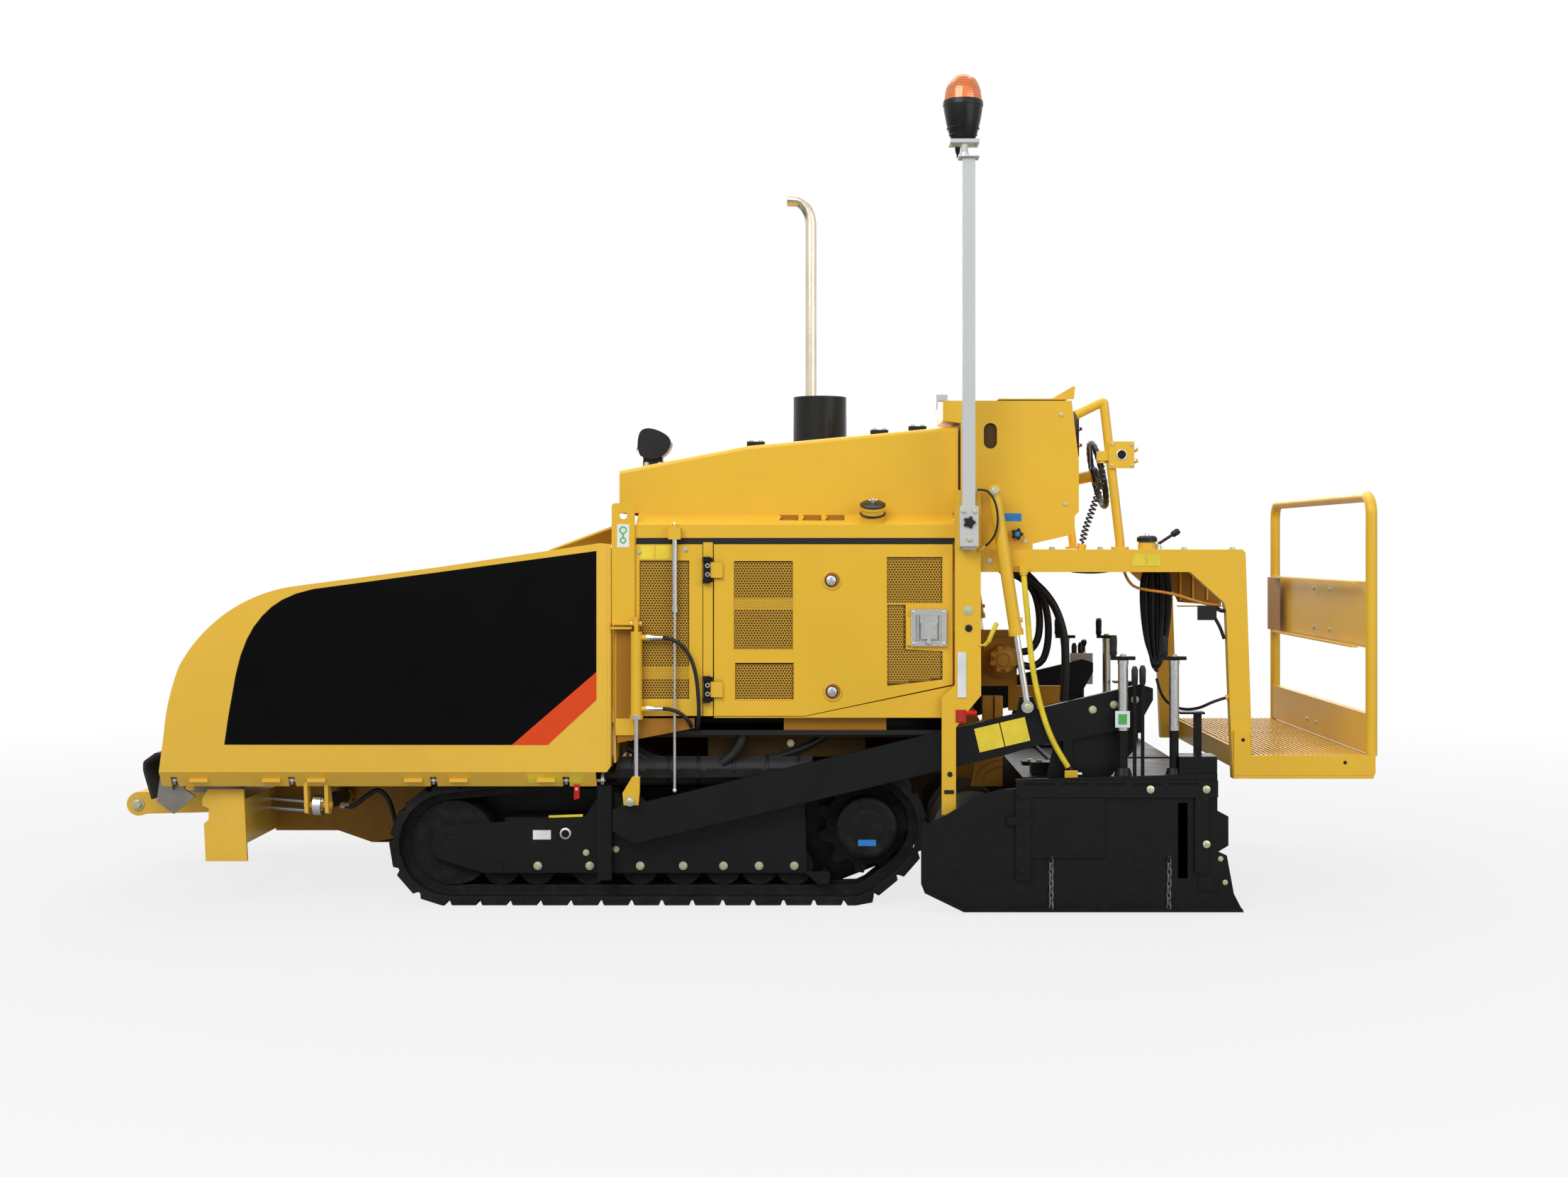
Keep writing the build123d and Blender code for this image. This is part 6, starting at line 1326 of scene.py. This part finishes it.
def deck_details():
    shapes = Shapes("label_yellow", "bolt", "knob_plastic", "body_yellow", "silver", "orange_cable", "hose_rubber")
    y = -0.6902
    shapes.box(1.323, 1.367, y - 0.0012, y, 1.133, 1.173)
    shapes.box(1.373, 1.417, y - 0.0012, y, 1.133, 1.173)
    shapes.use("bolt")
    shapes.bolt((0.850, y, 1.150), (0, -1, 0), 0.0075, 0.005)
    for x in (0.900, 1.060, 1.220, 1.500, 1.660):
        shapes.bolt((x, -0.670, 1.1882), (0, 0, 1), 0.0085, 0.006)
        shapes.bolt((x, 0.670, 1.1882), (0, 0, 1), 0.0085, 0.006)
    shapes.use("body_yellow").plate_y([(1.658, 0.4285), (2.1150, 0.4285), (2.1280, 0.4460), (2.1280, 0.5060), (1.7160, 0.5060),
                                       (1.7120, 0.5830), (1.6600, 0.5860)], -0.7012, -0.6900)
    shapes.box(1.658, 2.1260, -0.7024, -0.7013, 0.4400, 0.4412)
    shapes.use("knob_plastic")
    for hole_x, hole_z in ((1.689, 0.557), (2.027, 0.482)):
        shapes.turned((hole_x, -0.7013, hole_z), (hole_x, -0.7019, hole_z), [(0, 0.0062), (1, 0.0062)], 24)
    shapes.use("body_yellow").turned((1.381, -0.640, 1.1882), (1.381, -0.640, 1.213), [(0, 0.030), (0.85, 0.030), (1, 0.027)], 36)
    shapes.use("knob_plastic").turned((1.381, -0.640, 1.2132), (1.381, -0.640, 1.234), [(0, 0.034), (0.7, 0.034), (1, 0.026)], 36)
    shapes.use("silver").turned((1.381, -0.640, 1.2341), (1.381, -0.640, 1.243), [(0, 0.008), (1, 0.006)], 16)
    shapes.use("silver").rod((1.418, -0.640, 1.1882), (1.418, -0.640, 1.206), 0.010, sides=16)
    shapes.use("knob_plastic").rod((1.418, -0.640, 1.206), (1.466, -0.648, 1.238), 0.0052, sides=12)
    shapes.turned((1.462, -0.6473, 1.2353), (1.487, -0.6515, 1.252), [(0, 0.008), (0.2, 0.011), (0.8, 0.0115), (1, 0.007)], 18)
    shapes.piece("deck_fittings", "tractor", "body_yellow", edge=0.0006)
    lines = Shapes("orange_cable", "hose_rubber", "cable_black")
    lines.cable([(1.300, -0.600, 1.1795), (1.312, -0.602, 1.110), (1.340, -0.606, 1.066), (1.385, -0.612, 1.052),
                 (1.430, -0.620, 1.046), (1.480, -0.632, 1.036), (1.530, -0.645, 1.020), (1.580, -0.655, 1.006),
                 (1.622, -0.662, 1.002)], 0.0048)
    lines.use("cable_black").cable([(1.604, -0.650, 1.000), (1.622, -0.656, 0.985), (1.634, -0.662, 0.984)], 0.007)
    lines.cable([(1.590, -0.650, 0.985), (1.606, -0.655, 0.958), (1.622, -0.662, 0.925), (1.634, -0.664, 0.890)], 0.0058)
    lines.cable([(1.100, -0.430, 1.1795), (1.140, -0.428, 1.120), (1.190, -0.430, 1.108), (1.270, -0.436, 1.110),
                 (1.330, -0.440, 1.130), (1.370, -0.446, 1.1795)], 0.0035)
    lines.piece("deck_lines", "tractor", "cable_black")
    # painted shade: the hatch's recessed plate darkened as it lies in shade
    hatch = Shapes("painted_shade_yellow", "body_yellow")
    hatch.plate_y([(1.500, 1.1795), (1.500, 1.100), (1.548, 1.002), (1.700, 0.990), (1.700, 1.1795)], -0.3020, -0.2980)
    for x in (1.556, 1.600, 1.650):
        hatch.use("body_yellow").box(x - 0.003, x + 0.003, -0.3090, -0.3021, 1.010, 1.1795)
    hatch.box(1.545, 1.703, -0.3300, -0.2980, 0.986, 0.990)
    hatch.piece("deck_hatch", "tractor", "body_yellow")


def grating_details():
    # expanded-metal treads across the platform's bars
    shapes = Shapes("body_yellow")
    for index in range(22):
        y = -0.672 + index * 0.064
        shapes.box(1.732, 2.113, y - 0.0015, y + 0.0015, 0.4920, 0.5030)
    for index in range(23):
        x = 1.742 + index * 0.0164
        shapes.box(x - 0.0030, x + 0.0030, -0.690, 0.690, 0.4960, 0.5045)
    shapes.piece("platform_tread", "tractor", "body_yellow")


GUARD_FACE_X = 2.0858


def guard_details():
    shapes = Shapes("bolt", "body_yellow", "painted_shade_yellow")
    x = GUARD_FACE_X
    for y in (-0.297, -0.086):
        for z in (0.904, 1.047):
            shapes.bolt((x, y, z), (-1, 0, 0), 0.0085, 0.006)
    for y in (-0.115, 0.013):
        shapes.bolt((x, y, 0.562), (-1, 0, 0), 0.007, 0.005)
    shapes.use("body_yellow")
    for z0, z1 in ((1.0740, 1.0800), (0.8600, 0.8660)):
        shapes.box(x - 0.020, x + 0.001, -0.640, 0.500, z0, z1)
    # painted shade: dark strip at the board's far end
    shapes.use("painted_shade_yellow").box(x - 0.0008, x, 0.434, 0.640, 0.8662, 1.0738)
    shapes.piece("guard_rail_bolts", "tractor", "body_yellow")


# Conveyor drive, valves and big hoses


def drive_details():
    shapes = Shapes("bolt", "silver", "hose_rubber", "body_brown", "cable_black")
    # painted shade: the drive's yellow flange, bolts, panels and fender coloured the brown that yellow takes in shade
    for i in range(8):
        angle = math.radians(45 * i + 20)
        shapes.use("body_brown").turned((0.928 + 0.040 * math.cos(angle), -0.3402, 0.803 + 0.040 * math.sin(angle)),
                                        (0.928 + 0.040 * math.cos(angle), -0.3500, 0.803 + 0.040 * math.sin(angle)),
                                        [(0, 0.0095), (0.8, 0.0095), (1, 0.007)], 16)
    shapes.use("body_brown").turned((0.932, -0.3402, 0.803), (0.932, -0.352, 0.803), [(0, 0.040), (0.6, 0.038), (1, 0.028)], 36)
    shapes.ring((0.930, -0.3530, 0.803), (0, 1, 0), 0.0215, 0.0028, 32, 8)
    shapes.use("body_brown").box(0.849, 0.884, -0.4520, -0.4000, 0.590, 0.681)
    shapes.box(0.888, 0.916, -0.4620, -0.4000, 0.590, 0.681)
    shapes.plate_y([(0.806, 0.372), (0.916, 0.372), (0.916, 0.600), (0.842, 0.600)], -0.4500, -0.4300)
    for radius in (0.070, 0.094):
        arc = [(0.914 - radius * math.sin(math.radians(a)), -0.4530, 0.372 + radius * math.cos(math.radians(a)))
               for a in range(0, 75, 6)]
        shapes.cable(arc, 0.0022, sides=8)
    shapes.use("silver")
    for z in (0.780, 0.826):
        shapes.turned((0.950, -0.300, z), (1.000, -0.300, z), [(0, 0.016), (0.4, 0.016), (0.4, 0.013), (1, 0.013)], 6)
    shapes.use("hose_rubber")
    shapes.cable([(0.998, -0.300, 0.826), (1.030, -0.300, 0.835), (1.056, -0.300, 0.880), (1.060, -0.296, 0.960),
                  (1.040, -0.290, 1.040), (0.990, -0.286, 1.090), (0.930, -0.284, 1.112), (0.880, -0.284, 1.1795)], 0.013)
    shapes.cable([(0.998, -0.300, 0.780), (1.034, -0.300, 0.776), (1.072, -0.304, 0.800), (1.090, -0.306, 0.870),
                  (1.086, -0.310, 0.960), (1.058, -0.314, 1.050), (1.006, -0.318, 1.110), (0.950, -0.320, 1.1795)], 0.013)
    shapes.use("silver")
    for y in (-0.388, -0.424):
        shapes.turned((1.132, y, 0.640), (1.132, y, 0.662), [(0, 0.0155), (1, 0.0155)], 6)
        shapes.turned((0.830, y, 1.136), (0.852, y, 1.1358), [(0, 0.0155), (1, 0.0155)], 6)
    shapes.piece("drive_fittings", "tractor", "hose_rubber")


def lift_details():
    # hexagon nut and hose end on each lift cylinder, hose from the left one to the post
    for side, sign in (("left", -1), ("right", 1)):
        y = 0.726 * sign
        shapes = Shapes("silver", "bolt", "body_yellow")
        shapes.use("bolt").bolt((0.862, y + sign * 0.0242, 1.381), (0, sign, 0), 0.011, 0.006)
        shapes.piece("lift_bolt_" + side, "tractor", "body_yellow")
    eye = Shapes("bolt")
    eye.bolt((0.971, -0.7402, 0.669), (0, -1, 0), 0.011, 0.006)
    eye.piece("lift_eye_bolt", "screed", "frame_black", twin="screed")


# Screed


def chain(shapes, top, count, pitch, sway=0.0):
    # plain round links that hang in turn flat and edge-on
    x, y, z = top
    for index in range(count):
        centre = Vector((x + sway * math.sin(index * 0.7), y, z - index * pitch))
        across = Vector((1, 1 if index % 2 else -1, 0)).normalized()
        shapes.link(centre, across, pitch * 0.62, 0.0065, 0.0027)


def gate_details():
    y = -0.7952
    shapes = Shapes("bolt", "engine_iron", "frame_black")
    for x, z in ((1.366, 0.405), (1.549, 0.405), (1.549, 0.226)):
        shapes.use("bolt").turned((x, y + 0.0003, z), (x, y - 0.0025, z), [(0, 0.0125), (0.6, 0.0125), (1, 0.0105)])
    for x, z in ((1.597, 0.177), (1.612, 0.100)):
        shapes.bolt((x, -0.7832, z), (0, -1, 0), 0.0065, 0.005)
    for x, z in ((0.945, 0.140), (0.945, 0.380)):
        shapes.use("frame_black").bolt((x, y + 0.0003, z), (0, -1, 0), 0.010, 0.002)
    shapes.use("frame_black").box(0.897, 0.978, y - 0.0025, y + 0.012, 0.289, 0.314)
    shapes.use("engine_iron")
    chain(shapes, (1.043, -0.7885, 0.172), 9, 0.0190)
    chain(shapes, (1.428, -0.7885, 0.172), 9, 0.0190, 0.001)
    shapes.use("frame_black").box(1.0450, 1.2180, -0.7842, -0.7828, 0.1765, 0.1800)
    shapes.box(1.2145, 1.2180, -0.7842, -0.7828, 0.1765, 0.3780)
    shapes.box(1.465, 1.589, -0.7700, -0.6640, 0.4450, 0.5095)
    shapes.box(1.526, 1.548, -0.7200, -0.6900, 0.5080, 0.6450)
    shapes.box(1.475, 1.556, -0.7350, -0.6800, 0.6450, 0.6520)
    shapes.piece("gate_fittings", "extension_left", "screed_black", edge=0, twin="extension_right")


def crank_details():
    # zinc tubes, thrust rings and black grips of the crank posts, with two short levers between them
    shapes = Shapes("silver", "knob_plastic", "label_white", "label_green", "frame_black", "bolt")
    for x in (1.285, 1.453):
        shapes.use("silver").turned((x, -0.740, 0.5930), (x, -0.740, 0.8235),
                                    [(0, 0.0178), (0.06, 0.0178), (0.06, 0.0164), (0.94, 0.0164), (0.94, 0.0178), (1, 0.0178)], 32)
        shapes.use("frame_black").turned((x, -0.740, 0.4442), (x, -0.740, 0.470), [(0, 0.030), (1, 0.022)], 28)
        shapes.use("knob_plastic").turned((x - 0.032, -0.740, 0.838), (x - 0.032, -0.740, 0.9040),
                                          [(0, 0.0095), (0.1, 0.0125), (0.3, 0.0115), (0.7, 0.0125), (0.92, 0.0118), (1, 0.006)], 24)
        shapes.use("bolt").bolt((x, -0.740, 0.8362), (0, 0, 1), 0.009, 0.005)
    for x, low, high in ((1.322, 0.4202, 0.742), (1.348, 0.4202, 0.745)):
        shapes.use("frame_black").rod((x, -0.748, low), (x, -0.748, high), 0.0062, sides=16)
        shapes.use("knob_plastic").turned((x, -0.748, high - 0.002), (x, -0.748, high + 0.062),
                                          [(0, 0.0085), (0.15, 0.0105), (0.8, 0.0112), (1, 0.006)], 20)
    shapes.use("label_white").box(1.256, 1.304, -0.7625, -0.7610, 0.604, 0.658)
    shapes.use("label_green").box(1.266, 1.294, -0.7634, -0.7624, 0.614, 0.648)
    shapes.piece("crank_fittings", "extension_left", "screed_black", twin="extension_right")


def screed_details():
    # heater channel, hinges and bolts over the main screed, burner hoses and the extension's front strip
    shapes = Shapes("screed_black", "bolt", "silver", "engine_iron", "frame_black")
    for y, top in ((-0.560, 0.470), (-0.280, 0.441), (0.280, 0.441), (0.560, 0.470)):
        shapes.use("frame_black").box(1.000, 1.220, y - 0.030, y + 0.030, 0.4302, top)
        for x in (1.030, 1.190):
            shapes.use("bolt").bolt((x, y, top + 0.0002), (0, 0, 1), 0.010, 0.004)
    shapes.use("screed_black").rod((1.110, -0.530, 0.4375), (1.110, 0.530, 0.4375), 0.0070, sides=20)
    shapes.use("bolt")
    for y in (-0.640, -0.520, -0.400, -0.120, 0.120, 0.400, 0.520, 0.640):
        shapes.bolt((0.9615, y, 0.060), (-1, 0, 0), 0.009, 0.006)
    shapes.piece("screed_fittings", "screed", "screed_black", edge=0.001)
    box = Shapes("mast_grey", "knob_plastic", "silver", "red_plastic")
    box.use("mast_grey").box(1.306, 1.394, 0.7192, 0.7215, 0.638, 0.764)
    box.use("silver").turned((1.362, 0.752, 0.760), (1.362, 0.752, 0.768), [(0, 0.012), (1, 0.010)], 20)
    box.use("knob_plastic").turned((1.362, 0.752, 0.790), (1.362, 0.752, 0.818), [(0, 0.007), (0.4, 0.012), (0.8, 0.012), (1, 0.007)], 20)
    box.piece("control_box_fittings", "extension_right", "screed_black", edge=0.0008)


def arm_sign():
    # two blank yellow panels tilted with the left and right tow arm
    slope = 0.2377
    low = Vector((0.816, 0, 0.516))
    along = Vector((1, 0, slope)).normalized()
    up = Vector((-along.z, 0, along.x))
    shapes = Shapes("label_yellow", "bolt", "decal_black")
    y = -0.7052
    for start, end in ((0.0, 0.084), (0.088, 0.172)):
        corners = [low + along * start, low + along * end, low + along * end + up * 0.080, low + along * start + up * 0.080]
        shapes.use("label_yellow").plate_y([(c.x, c.z) for c in corners], y - 0.0014, y)
    shapes.piece("arm_sign", "screed", "frame_black", twin="screed")


def arm_details():
    shapes = Shapes("bolt", "silver", "body_yellow")
    for x in (1.190, 1.260, 1.330):
        shapes.use("bolt").bolt((x, -0.7052, 0.425 + (x - 0.021) * 0.2377 - 0.045), (0, -1, 0), 0.0095, 0.006)
    shapes.piece("arm_bolts", "screed", "frame_black", twin="screed")
    block = Shapes("body_yellow", "silver")
    block.use("body_yellow").box(1.0935, 1.1365, -0.7365, -0.7345, 0.4320, 0.4600)
    block.use("silver").turned((1.136, -0.722, 0.446), (1.152, -0.722, 0.446), [(0, 0.008), (1, 0.007)], 6)
    block.piece("sleeve_block_trim", "screed", "frame_black", edge=0.0006)


def sleeve_branch():
    # short yellow branch of the sleeve hose to the post
    shapes = Shapes("sleeve_yellow", "silver")
    path = smooth_line([(0.842, -0.7390, 0.884), (0.856, -0.742, 0.918), (0.869, -0.7450, 0.946)], 0.0035)
    count = len(path)
    shapes.prism(tube_rings(path, [0.0085 - (0.0016 if i % 2 else 0) for i in range(count)], 14))
    shapes.rod((0.8415, -0.7386, 0.884), (0.8300, -0.7300, 0.872), 0.0066, sides=14)
    shapes.rod((0.8300, -0.7300, 0.872), (0.8100, -0.7240, 0.872), 0.0036, sides=12)
    shapes.piece("sleeve_branch", "tractor", "sleeve_yellow")


# Nodes that keep their own form


# inner faces behind the perforated sheets, painted in shade
def behind_mesh(place):
    return 0.6915 < abs(place.y) < 0.6965


def on_hinge(place):
    return abs(place.y) > 0.7005 and place.x < -0.0655


# body faces under the floor, painted in deep shade, except by the front hinge
def under_floor(place):
    return place.z < 0.600 and not (place.x < -0.070 and abs(place.y) > 0.690)


# body faces beside the hopper wing, painted in shade
def beside_wing(place):
    return place.x < -0.3235 and place.z > 0.600


# main frame parts under the engine, painted in deep shade
def under_engine(place):
    return place.x > -0.380


def on_thin_rod(place):
    return abs(place.x + 0.193) < 0.0115 and abs(abs(place.y) - 0.718) < 0.0125 and place.z < 1.185


def on_piston_rod(place):
    return abs(place.x + 0.3190) < 0.0135 and 0.425 < place.z < 0.640


def on_mast_bracket(place):
    return place.y < -0.7255 and 0.74 < place.x < 0.81 and 1.19 < place.z < 1.34


REPAINTED = {
    "door_left": [("painted_shade_back", behind_mesh), ("frame_black", on_hinge)],
    "door_right": [("painted_shade_back", behind_mesh), ("frame_black", on_hinge)],
    "mesh_panels": [("painted_shade_back", behind_mesh)],
    "body_shell": [("painted_shade_yellow", beside_wing), ("underside_painted_shade", under_floor), ("frame_black", on_hinge)],
    "main_frame": [("underside_painted_shade", under_engine)],
    "tow_cylinders": [("silver", on_thin_rod), ("chrome_rod", on_piston_rod)],
    "rear_posts": [("mast_grey", on_mast_bracket)],
}


def dress_nodes(replaced):
    for node in frame["nodes"]:
        if node not in replaced:
            dress(node, 0.0012 if node in REPAINTED else 0.002, REPAINTED.get(node, ()))


def dress_scene():
    decal()
    wing_trim()
    front_details()
    track_bolts()
    hub_details()
    door_meshes()
    door_details()
    door_seals_and_shadow_gaps()
    under_body()
    rail_details()
    hood_details()
    exhaust()
    lifting_details()
    tow_cylinder_details()
    post_details()
    mast_details()
    beacon()
    console_details()
    console_face()
    steering_details()
    socket_details()
    deck_details()
    grating_details()
    guard_details()
    drive_details()
    lift_details()
    gate_details()
    crank_details()
    screed_details()
    arm_sign()
    arm_details()
    sleeve_branch()


MATERIALS = make_materials()
set_camera()
make_cords()
set_world()
set_lights()
set_floor()
dress_scene()
dress_nodes({"hank_lead", "hydraulic_hose_inner", "hydraulic_hose_outer", "curly_cord", "mast_cable", "sleeve_hose",
             "cable_hank", "exhaust_pipe", "beacon", "steering_wheel"})
